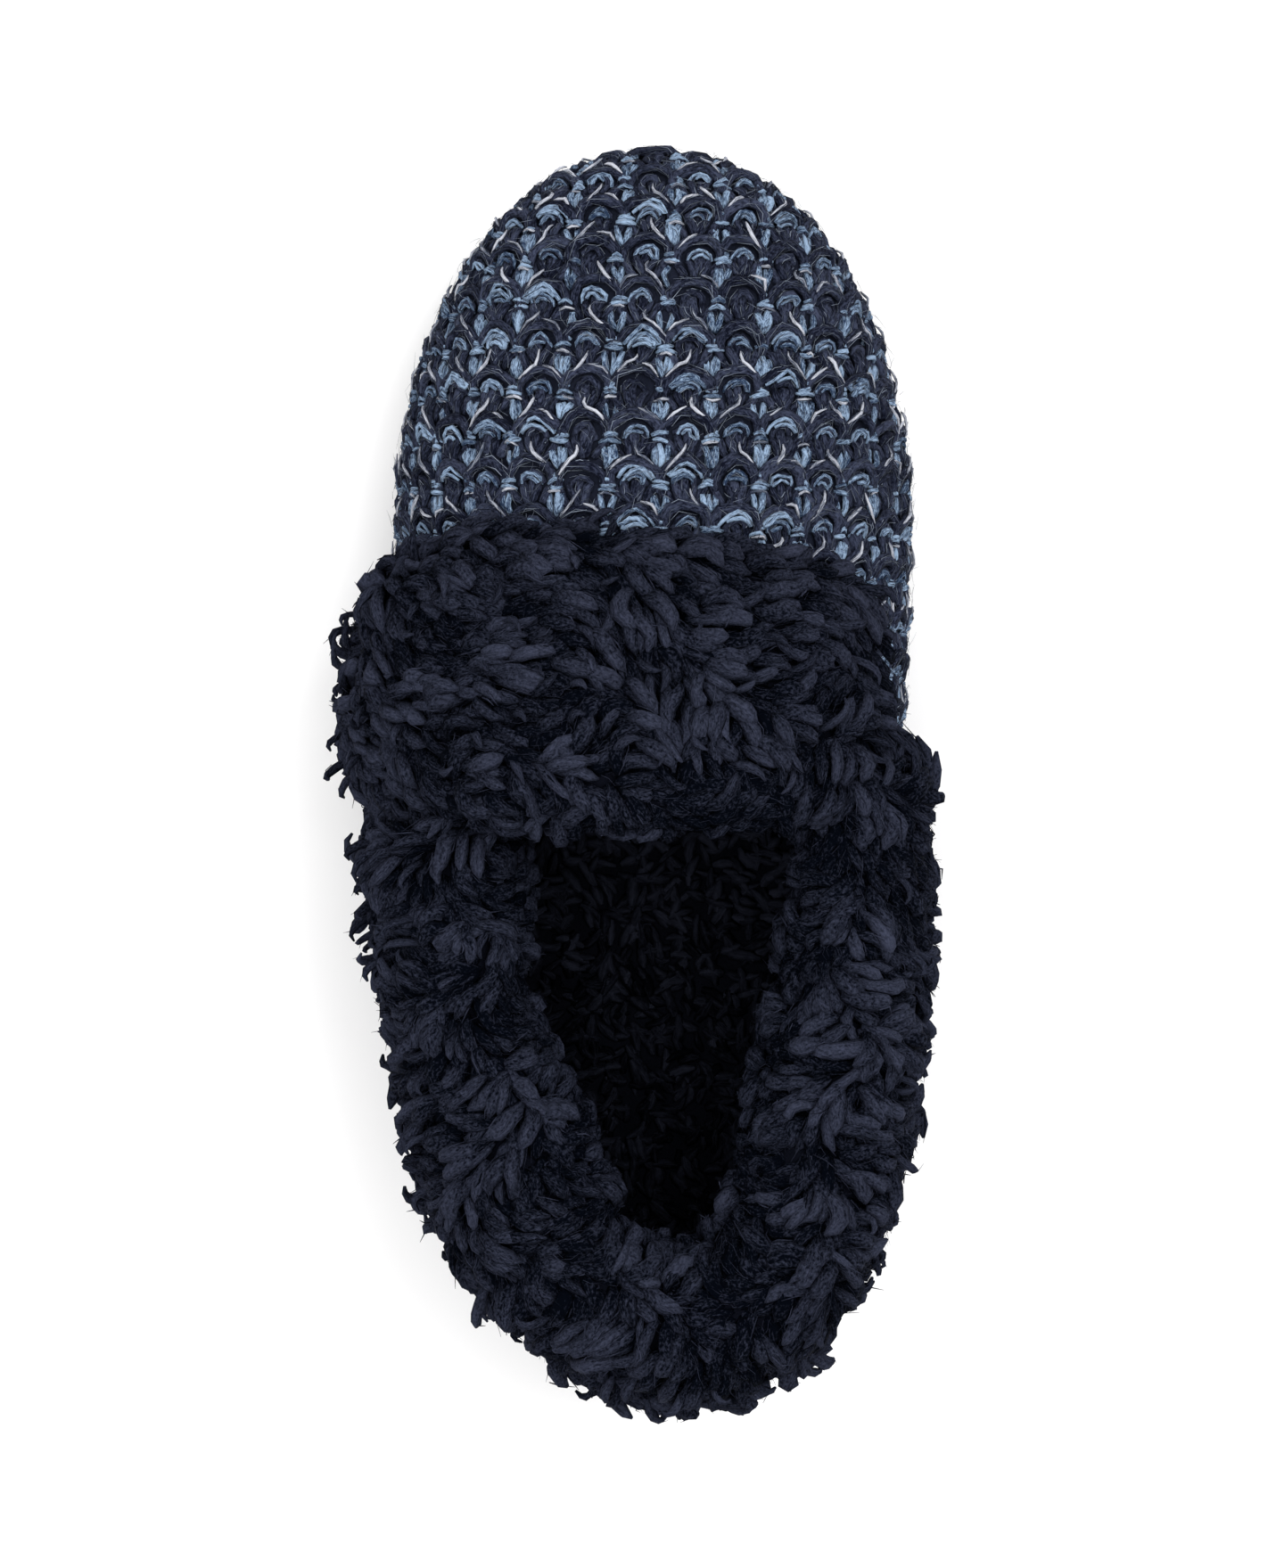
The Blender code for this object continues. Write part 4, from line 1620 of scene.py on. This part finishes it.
    def lay_curls(self, count: int, strands: Strands) -> None:
        """Lays slim curls that stand out of the pile, most and highest near the cuff's first end.

        Args:
            count: how many.
            strands: where they are gathered.
        """
        draws = self.draws
        cover = self.thickness()
        cover[:, : cover.shape[1] // 2] = 0.0
        cover = cover * (1.0 + 3.0 * share_of(np.arange(len(cover)), 60, 0))[:, None]
        row, column = self.face.scatter(count, cover, draws)
        count = len(row)
        heading, _, _ = self.comb(row, column)
        curl = draws.uniform(0.6, 2.4, count) * draws.choice((-1.0, 1.0), count)
        rows, columns = self.face.trace(row, column, heading, curl, draws.uniform(4.0, 8.0, count) * MM, 6)
        t = np.linspace(0.0, 1.0, 6)
        stand = draws.uniform(2.5, 6.5, count) * (1.0 + 0.5 * share_of(row, 60, 0)) * MM
        root = draws.uniform(0.0, 1.5, (count, 1)) * MM
        points, normals = self.lay(rows, columns, root + stand[:, None] * np.sin(0.62 * math.pi * t))
        taper = np.interp(t, (0.0, 0.5, 1.0), (0.8, 1.0, 0.25))
        radii = draws.uniform(0.85, 1.35, (count, 1)) * MM * taper
        tones = np.clip(draws.normal(0.42, 0.10, (count, 1)) + 0.1 * t, 0.0, 1.0)
        strands.add(points, normals, radii, tones, 4)
        strands.wisps(points, normals, radii, tones, self.curl_wisp_width, self.curl_wisp_stray, draws)

    def lay(self, rows: Array, columns: Array, height: Array) -> tuple[Array, Array]:
        """Points over the face, going straight on past its hems.

        Args:
            rows: places along the cuff.
            columns: places round its profile.
            height: how far out of the face.

        Returns:
            The points and their normals.
        """
        face = self.face
        most_rows, most_columns = face.areas.shape
        row, column = np.clip(rows, 0, most_rows - 1.01), np.clip(columns, 0, most_columns - 1.01)
        points, normals = face.lay(row, column, height)
        points = points + face.read(face.along, row, column) * (rows - row)[..., None]
        points = points + face.read(face.across, row, column) * (columns - column)[..., None]
        return points, normals

    def lay_hairs(self, count: int, strands: Strands) -> None:
        """Lays loose hairs that stand off the locks.

        Args:
            count: how many.
            strands: where they are gathered.
        """
        draws = self.draws
        row, column = self.face.scatter(count, self.thickness(), draws)
        count = len(row)
        heading, length, stand = self.comb(row, column)
        curl = draws.normal(0.0, 1.6, count)
        rows, columns = self.face.trace(row, column, heading, curl, length * 0.4, 3)
        root = draws.uniform(0.8, 2.8, (count, 1)) * MM
        height = root + (0.5 * stand + 0.5 * MM)[:, None] * np.linspace(0.0, 1.0, 3)
        points, normals = self.lay(rows, columns, height)
        strands.hairs(points, normals, self.hair_width, np.clip(draws.normal(0.70, 0.2, count), 0, 1))

    def build(self) -> None:
        """Makes the backing, the locks and the hairs."""
        rows, columns = self.face.areas.shape

        def shape(along: Array, round_: Array) -> Array:
            """Points of the backing's face."""
            depth = np.full(along.shape, -0.4 * MM)
            return self.face.lay(along * (rows - 1), round_ * (columns - 1), depth)[0]

        def outward(middle: Vector) -> Vector:
            """The way out of the face nearest to a point."""
            spot = np.argmin(np.linalg.norm(self.face.points - np.array(middle), axis=-1))
            return Vector(self.face.normals.reshape(-1, 3)[spot])

        sheet = sheet_mesh(*self.backing_faces, shape)
        piece = as_wall(sheet, f"{self.name}_backing", self.backing_thickness, outward)
        piece.data.materials.append(self.backing.material())
        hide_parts(self.node)
        settle_piece(piece)
        share = 1 + self.locks // self.most_locks
        for part in range(share):
            strands = Strands()
            self.lay_under_locks(self.under_locks // share, strands)
            self.lay_locks(self.locks // share, strands)
            self.lay_curls(self.curls // share, strands)
            name = f"{self.name}_locks" if share == 1 else f"{self.name}_locks_{part + 1}"
            settle_piece(strands.piece(name, self.pile.material()))
        strands = Strands()
        self.lay_hairs(self.hairs, strands)
        settle_piece(strands.piece(f"{self.name}_hairs", self.pile.material()))


@dataclass
class CollarCuff(PileCuff):
    """The cuff turned down round the sides and the heel."""

    left_end: float = -0.0100
    right_end: float = 0.0020
    round_end: float = 9.0 * MM

    def make_face(self) -> Surface:
        """Sets the profile square to the collar line, all the way round it.

        Returns:
            The cuff's outside, rounded at its two ends.
        """
        last = self.last
        middle = -last.wall / 2
        heel = last.heel_end - middle
        along = np.linspace(-1.0, 1.0, 4001)
        y = heel + (np.where(along < 0, self.left_end, self.right_end) - heel) * np.abs(along) ** 1.75
        angle = np.copysign(last.angle_at(y, last.collar(y), middle), along)
        line = last.point(y, angle, middle)
        runs = runs_along(line)
        even = np.linspace(0.0, runs[-1], 420)
        path = read_line(even, runs, line)
        run = np.gradient(path, axis=0)
        outward = unit(np.stack((run[:, 1], -run[:, 0], np.zeros(len(run))), axis=-1))
        end = np.minimum(np.minimum(even, runs[-1] - even) / self.round_end, 1.0)
        full = 0.72 + 0.28 * np.sqrt(1.0 - (1.0 - end) ** 2)
        profile = self.smooth_profile(130)
        fullness, inner = (self.lie_at(even / runs[-1], name)[:, None] for name in ("fullness", "inner"))
        out = profile[:, 1] * np.where(profile[:, 1] > 0, fullness, inner)
        points = path[:, None, :] + outward[:, None, :] * (out * full[:, None])[..., None]
        points = points + np.array(UP) * (profile[:, 0] * full[:, None])[..., None]
        return Surface(points, outward=-1.0)

    def comb(self, row: Array, column: Array) -> tuple[Array, Array, Array]:
        """Locks hang into the mouth inside, lie along the crest, and hang outwards and back outside.

        Args:
            row: places along the cuff.
            column: places round its profile.

        Returns:
            The locks' headings, lengths and how far their tips stand up.
        """
        count, draws = len(row), self.draws
        rows, columns = self.face.areas.shape
        over = share_of(column / columns, 0.24, 0.56)
        backwards = np.where(row < rows / 2, 1.0, -1.0)
        heading = math.pi * (1.0 - eased(over)) * backwards + 0.40 * backwards * over
        heading = heading + 0.95 * self.swirl(row, column)
        length = (draws.uniform(6.5, 10.0, count) + 1.5 * over) * MM
        left_end, right_end = share_of(row, 34, 4), share_of(row, rows - 40, rows - 5)
        heading = heading + 1.0 * right_end * over - 0.5 * left_end * over
        loose = (draws.random(count) < 0.22) * draws.uniform(1.5, 4.5, count)
        stand = draws.uniform(-0.5, 1.8, count) + (draws.uniform(0.0, 2.0, count) + loose) * over
        return heading, length, (stand + (3.5 * right_end + 3.5 * left_end) * over) * MM


@dataclass
class VampCuff(PileCuff):
    """The cuff folded forward over the vamp."""

    left_end: float = math.radians(-99)
    right_end: float = math.radians(52)

    def make_face(self) -> Surface:
        """Sets the profile at angles across the vamp.

        Returns:
            The cuff's outside, drawn in at its two rounded sides.
        """
        profile = self.smooth_profile(150)
        across = np.linspace(0.0, 1.0, 300)[:, None]
        angle = self.left_end + (self.right_end - self.left_end) * across
        along, out = profile[:, 0][None, :], profile[:, 1][None, :]
        out = np.where(out > 0, out * self.lie_at(across, "fullness"), out)
        along = np.where(along > 0, along * self.lie_at(across, "reach"), along)
        return Surface(self.last.point(self.last.throat + along, angle, out), outward=1.0)

    def comb(self, row: Array, column: Array) -> tuple[Array, Array, Array]:
        """Locks lie across the foot near the front hem, curl in the middle and hang into the mouth.

        Args:
            row: places across the vamp.
            column: places round the profile.

        Returns:
            The locks' headings, lengths and how far their tips stand up.
        """
        count, draws = len(row), self.draws
        place = column / self.face.areas.shape[1]
        ahead = eased(share_of(place, 0.26, 0.62))
        hem = eased(share_of(place, 0.84, 0.96))
        heading = math.pi - (math.pi / 2 - 0.30) * ahead - 0.9 * hem
        heading = heading + (1.15 - 0.60 * eased(share_of(place, 0.55, 0.80))) * self.swirl(row, column)
        length = (draws.uniform(6.5, 10.5, count) + 1.2 * ahead) * MM
        edge = np.maximum(share_of(row, 40, 4), 0.6 * share_of(row, 265, 296))
        loose = (draws.random(count) < 0.3) * draws.uniform(1.5, 4.5, count)
        stand = draws.uniform(-0.5, 2.4, count) + (1.5 + loose) * np.maximum(hem, edge)
        return heading, length, stand * MM


@dataclass
class Footbed:
    """The insole's padded fleece and the fleece lining inside the upper."""

    last: Last
    clearance: float = 0.6 * MM
    thickness: float = 5.4 * MM
    crown: float = 0.6 * MM
    sole_locks: int = 1250
    wall_locks: int = 450
    pad_faces: tuple[int, int] = (60, 22)
    seen_front_y: float = 10 * MM
    wall_front_y: float = 75 * MM
    wall_foot_z: float = 18 * MM
    seed: int = 23
    # Painted shade: the lining's colours are kept far darker than the cuffs' pile, for the shade inside the
    # mouth.
    pile: FibreFinish = FibreFinish(
        "shaded_lining_pile",
        dark=(0.0008, 0.0009, 0.0016),
        light=(0.0125, 0.0140, 0.0220),
        streak_along=200.0,
        streak_around=7.0,
        tones=1.3,
        gloss=0.01,
    )
    backing: BackingFinish = BackingFinish(
        "insole_fleece", colour=(0.0004, 0.0005, 0.0010), lift=(0.0030, 0.0035, 0.0062)
    )

    def top(self, along: Array, across: Array) -> Array:
        """Points of the insole's top.

        Args:
            along: share of the way from heel to toe.
            across: share of the way from the left edge to the right.

        Returns:
            The points.
        """
        last = self.last
        out = -last.wall - self.clearance
        y = last.stations(along, out)
        left, right = last.point(y, -last.wall_end, out), last.point(y, last.wall_end, out)
        points = left + (right - left) * across[..., None]
        lift = self.thickness + self.crown * (1.0 - (2.0 * across - 1.0) ** 4)
        points[..., 2] = points[..., 2] + lift
        return points

    def inner_wall(self) -> Surface:
        """Reads off the upper's inside.

        Returns:
            It as a surface that faces the foot.
        """
        last = self.last
        y = np.linspace(last.heel_end + 4 * MM, self.wall_front_y, 240)
        end = math.pi / 2 + last.turn_under * 0.6
        angle = np.linspace(-end, end, 200)
        return Surface(last.point(y[:, None], angle[None, :], -last.wall - 0.2 * MM), outward=1.0)

    def lay_locks(self, face: Surface, count: int, cover: Array, draws: Draws, strands: Strands) -> None:
        """Lays short locks of lining.

        Args:
            face: what they lie on.
            count: how many.
            cover: how thickly each point is covered.
            draws: the random numbers.
            strands: where they are gathered.
        """
        row, column = face.scatter(count, cover, draws)
        count = len(row)
        heading, curl = draws.uniform(0, 2 * math.pi, count), draws.normal(0, 0.9, count)
        rows, columns = face.trace(row, column, heading, curl, draws.uniform(4.0, 7.5, count) * MM, 4)
        t = np.linspace(0.0, 1.0, 4)
        root, rise = draws.uniform(-0.2, 0.5, (count, 1)), draws.uniform(0.3, 1.6, (count, 1))
        points, normals = face.lay(rows, columns, (root + rise * t) * MM)
        radii = draws.uniform(0.9, 1.6, (count, 1)) * MM * np.sin(math.pi * (0.22 + 0.66 * t))
        # Painted shade and light: each lining lock is darker towards its root, and the lining is lighter
        # towards the front of the mouth, where more light falls in.
        tones = np.clip(draws.normal(0.30, 0.16, (count, 1)) + 0.2 * (t - 0.4), 0, 1)
        tones = tones + 0.5 * share_of(points[..., 1], -0.045, 0.000)
        strands.add(points, normals, radii, tones, 4, 0.7)

    def build(self) -> None:
        """Makes the padded insole and the lining's locks."""
        bm = sheet_mesh(*self.pad_faces, self.top)
        pad = as_wall(bm, "insole_pad", self.thickness - 0.3 * MM, lambda middle: UP)
        pad.data.materials.append(self.backing.material())
        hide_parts("insole")
        settle_piece(pad)
        draws = np.random.default_rng(self.seed)
        strands = Strands()
        shares = np.linspace(0.06, 0.94, 200), np.linspace(0.06, 0.94, 80)
        floor = Surface(self.top(*np.meshgrid(*shares, indexing="ij")), outward=-1.0)
        seen = np.where(floor.points[..., 1] < self.seen_front_y, 1.0, 0.10)
        self.lay_locks(floor, self.sole_locks, seen, draws, strands)
        wall = self.inner_wall()
        y, z = wall.points[..., 1] - self.last.shift[1], wall.points[..., 2]
        below = (z < self.last.collar(y) - 6 * MM) & (z > self.wall_foot_z)
        ahead = (y > self.last.throat + 4 * MM) & (z > self.wall_foot_z)
        self.lay_locks(wall, self.wall_locks, (below | ahead).astype(float), draws, strands)
        settle_piece(strands.piece("lining_locks", self.pile.material()))


@dataclass
class Outsole:
    """The moulded outsole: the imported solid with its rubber."""

    finish: RubberFinish = RubberFinish()

    def build(self, frame: dict) -> None:
        """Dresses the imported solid.

        Args:
            frame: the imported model.
        """
        node = frame["nodes"]["outsole"]
        node.data.materials.clear()
        node.data.materials.append(self.finish.material())
        LOG.info("outsole: packed solid")


@dataclass(frozen=True)
class SoftBox:
    """A square soft light: where it hangs, the length of its side and its power in watts."""

    name: str
    location: Triple
    size: float
    power: float

    def hang(self, aim: Vector) -> None:
        """Puts the light in the scene.

        Args:
            aim: the point that it faces.
        """
        light = bpy.data.lights.new(self.name, "AREA")
        light.size = self.size
        light.energy = self.power
        lamp = bpy.data.objects.new(self.name, light)
        lamp.location = self.location
        lamp.rotation_euler = (aim - Vector(self.location)).to_track_quat("-Z", "Y").to_euler()
        bpy.context.scene.collection.objects.link(lamp)


@dataclass
class Studio:
    """The floor, the soft light, and the camera straight above the last."""

    last: Last
    middle_x: float = -3.55 * MM
    middle_y: float = -0.28 * MM
    frame_height: float = 0.3432
    focus_z: float = 0.045
    lens: float = 135.0
    floor_size: float = 6.0
    floor: FloorFinish = FloorFinish()
    world_strength: float = 0.85
    aim_z: float = 40 * MM
    lights: tuple[SoftBox, ...] = (
        SoftBox("key_softbox", location=(0.68, 0.38, 1.4), size=1.1, power=17.2),
        SoftBox("fill_softbox", location=(-0.72, -0.30, 1.5), size=1.3, power=12.8),
        SoftBox("top_softbox", location=(0.0, 0.1, 1.9), size=1.6, power=10.0),
    )

    def build(self) -> None:
        """Makes them all."""
        scene = bpy.context.scene
        bm = bmesh.new()
        bmesh.ops.create_grid(bm, x_segments=2, y_segments=2, size=self.floor_size / 2)
        mesh = bpy.data.meshes.new("floor")
        bm.to_mesh(mesh)
        bm.free()
        mesh.materials.append(self.floor.material())
        place("floor", mesh)
        for light in self.lights:
            light.hang(UP * self.aim_z)
        scene.world = bpy.data.worlds.new("studio")
        scene.world.use_nodes = True
        background = scene.world.node_tree.nodes["Background"]
        background.inputs["Color"].default_value = (1.0, 1.0, 1.0, 1.0)
        background.inputs["Strength"].default_value = self.world_strength
        scene.view_settings.view_transform = "Standard"
        lens = bpy.data.cameras.new("photo_camera")
        lens.lens = self.lens
        lens.sensor_width = 36.0
        lens.clip_end = 20.0
        camera = bpy.data.objects.new("photo_camera", lens)
        height = self.focus_z + self.frame_height * self.lens / lens.sensor_width
        camera.location = (self.last.shift[0] + self.middle_x, self.last.shift[1] + self.middle_y, height)
        scene.collection.objects.link(camera)
        scene.camera = camera


COLLAR_PROFILE = (
    Fold(along=-0.0190, out=-0.0010),
    Fold(along=-0.0200, out=-0.0085),
    Fold(along=-0.0110, out=-0.0130),
    Fold(along=0.0000, out=-0.0125),
    Fold(along=0.0085, out=-0.0085),
    Fold(along=0.0125, out=0.0000),
    Fold(along=0.0095, out=0.0090),
    Fold(along=0.0020, out=0.0150),
    Fold(along=-0.0080, out=0.0180),
    Fold(along=-0.0190, out=0.0187),
    Fold(along=-0.0290, out=0.0183),
    Fold(along=-0.0360, out=0.0150),
    Fold(along=-0.0370, out=0.0090),
)

COLLAR_LIE = (
    Lie(share=0.00, fullness=1.05, inner=0.60),
    Lie(share=0.07, fullness=1.01, inner=0.60),
    Lie(share=0.14, fullness=0.97, inner=0.40),
    Lie(share=0.20, fullness=0.95, inner=0.75),
    Lie(share=0.25, fullness=0.93, inner=1.30),
    Lie(share=0.32, fullness=0.88, inner=1.12),
    Lie(share=0.40, fullness=0.70, inner=1.00),
    Lie(share=0.49, fullness=0.92, inner=1.00),
    Lie(share=0.58, fullness=0.70, inner=1.08),
    Lie(share=0.66, fullness=0.66, inner=1.30),
    Lie(share=0.75, fullness=0.66, inner=1.22),
    Lie(share=0.80, fullness=0.75, inner=0.95),
    Lie(share=0.86, fullness=0.84, inner=0.72),
    Lie(share=0.93, fullness=0.88, inner=0.47),
    Lie(share=1.00, fullness=0.92, inner=0.45),
)

VAMP_PROFILE = (
    Fold(along=0.0130, out=-0.0040),
    Fold(along=0.0110, out=-0.0085),
    Fold(along=0.0040, out=-0.0100),
    Fold(along=-0.0015, out=-0.0070),
    Fold(along=-0.0048, out=0.0000),
    Fold(along=-0.0035, out=0.0075),
    Fold(along=0.0015, out=0.0125),
    Fold(along=0.0080, out=0.0140),
    Fold(along=0.0180, out=0.0142),
    Fold(along=0.0290, out=0.0140),
    Fold(along=0.0400, out=0.0130),
    Fold(along=0.0490, out=0.0105),
    Fold(along=0.0540, out=0.0060),
    Fold(along=0.0545, out=0.0010),
)

VAMP_LIE = (
    Lie(share=0.00, fullness=0.55, reach=0.62),
    Lie(share=0.08, fullness=0.72, reach=0.69),
    Lie(share=0.16, fullness=0.82, reach=0.79),
    Lie(share=0.25, fullness=0.91, reach=0.90),
    Lie(share=0.40, fullness=0.98, reach=0.99),
    Lie(share=0.60, fullness=0.98, reach=0.99),
    Lie(share=0.75, fullness=0.91, reach=0.95),
    Lie(share=0.90, fullness=0.74, reach=0.87),
    Lie(share=1.00, fullness=0.55, reach=0.79),
)


def main() -> None:
    """Builds every piece in order; each piece's triangles are logged as it settles."""
    logging.basicConfig(level=logging.INFO, format="%(name)s: %(message)s")
    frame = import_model()
    last = Last()
    last.settle(*(Vector(corner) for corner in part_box("upper")))
    Studio(last).build()
    Outsole().build(frame)
    Footbed(last).build()
    KnitUpper(last).build()
    VampCuff(
        last,
        name="vamp_cuff",
        node="vamp_cuff",
        seed=5,
        profile=VAMP_PROFILE,
        lie=VAMP_LIE,
        locks=1260,
        under_locks=520,
        curls=90,
        hairs=1500,
    ).build()
    CollarCuff(
        last,
        name="collar_cuff",
        node="collar_cuff",
        seed=9,
        profile=COLLAR_PROFILE,
        lie=COLLAR_LIE,
        locks=2890,
        under_locks=1250,
        curls=210,
        hairs=2600,
    ).build()


if __name__ == "__main__":
    main()
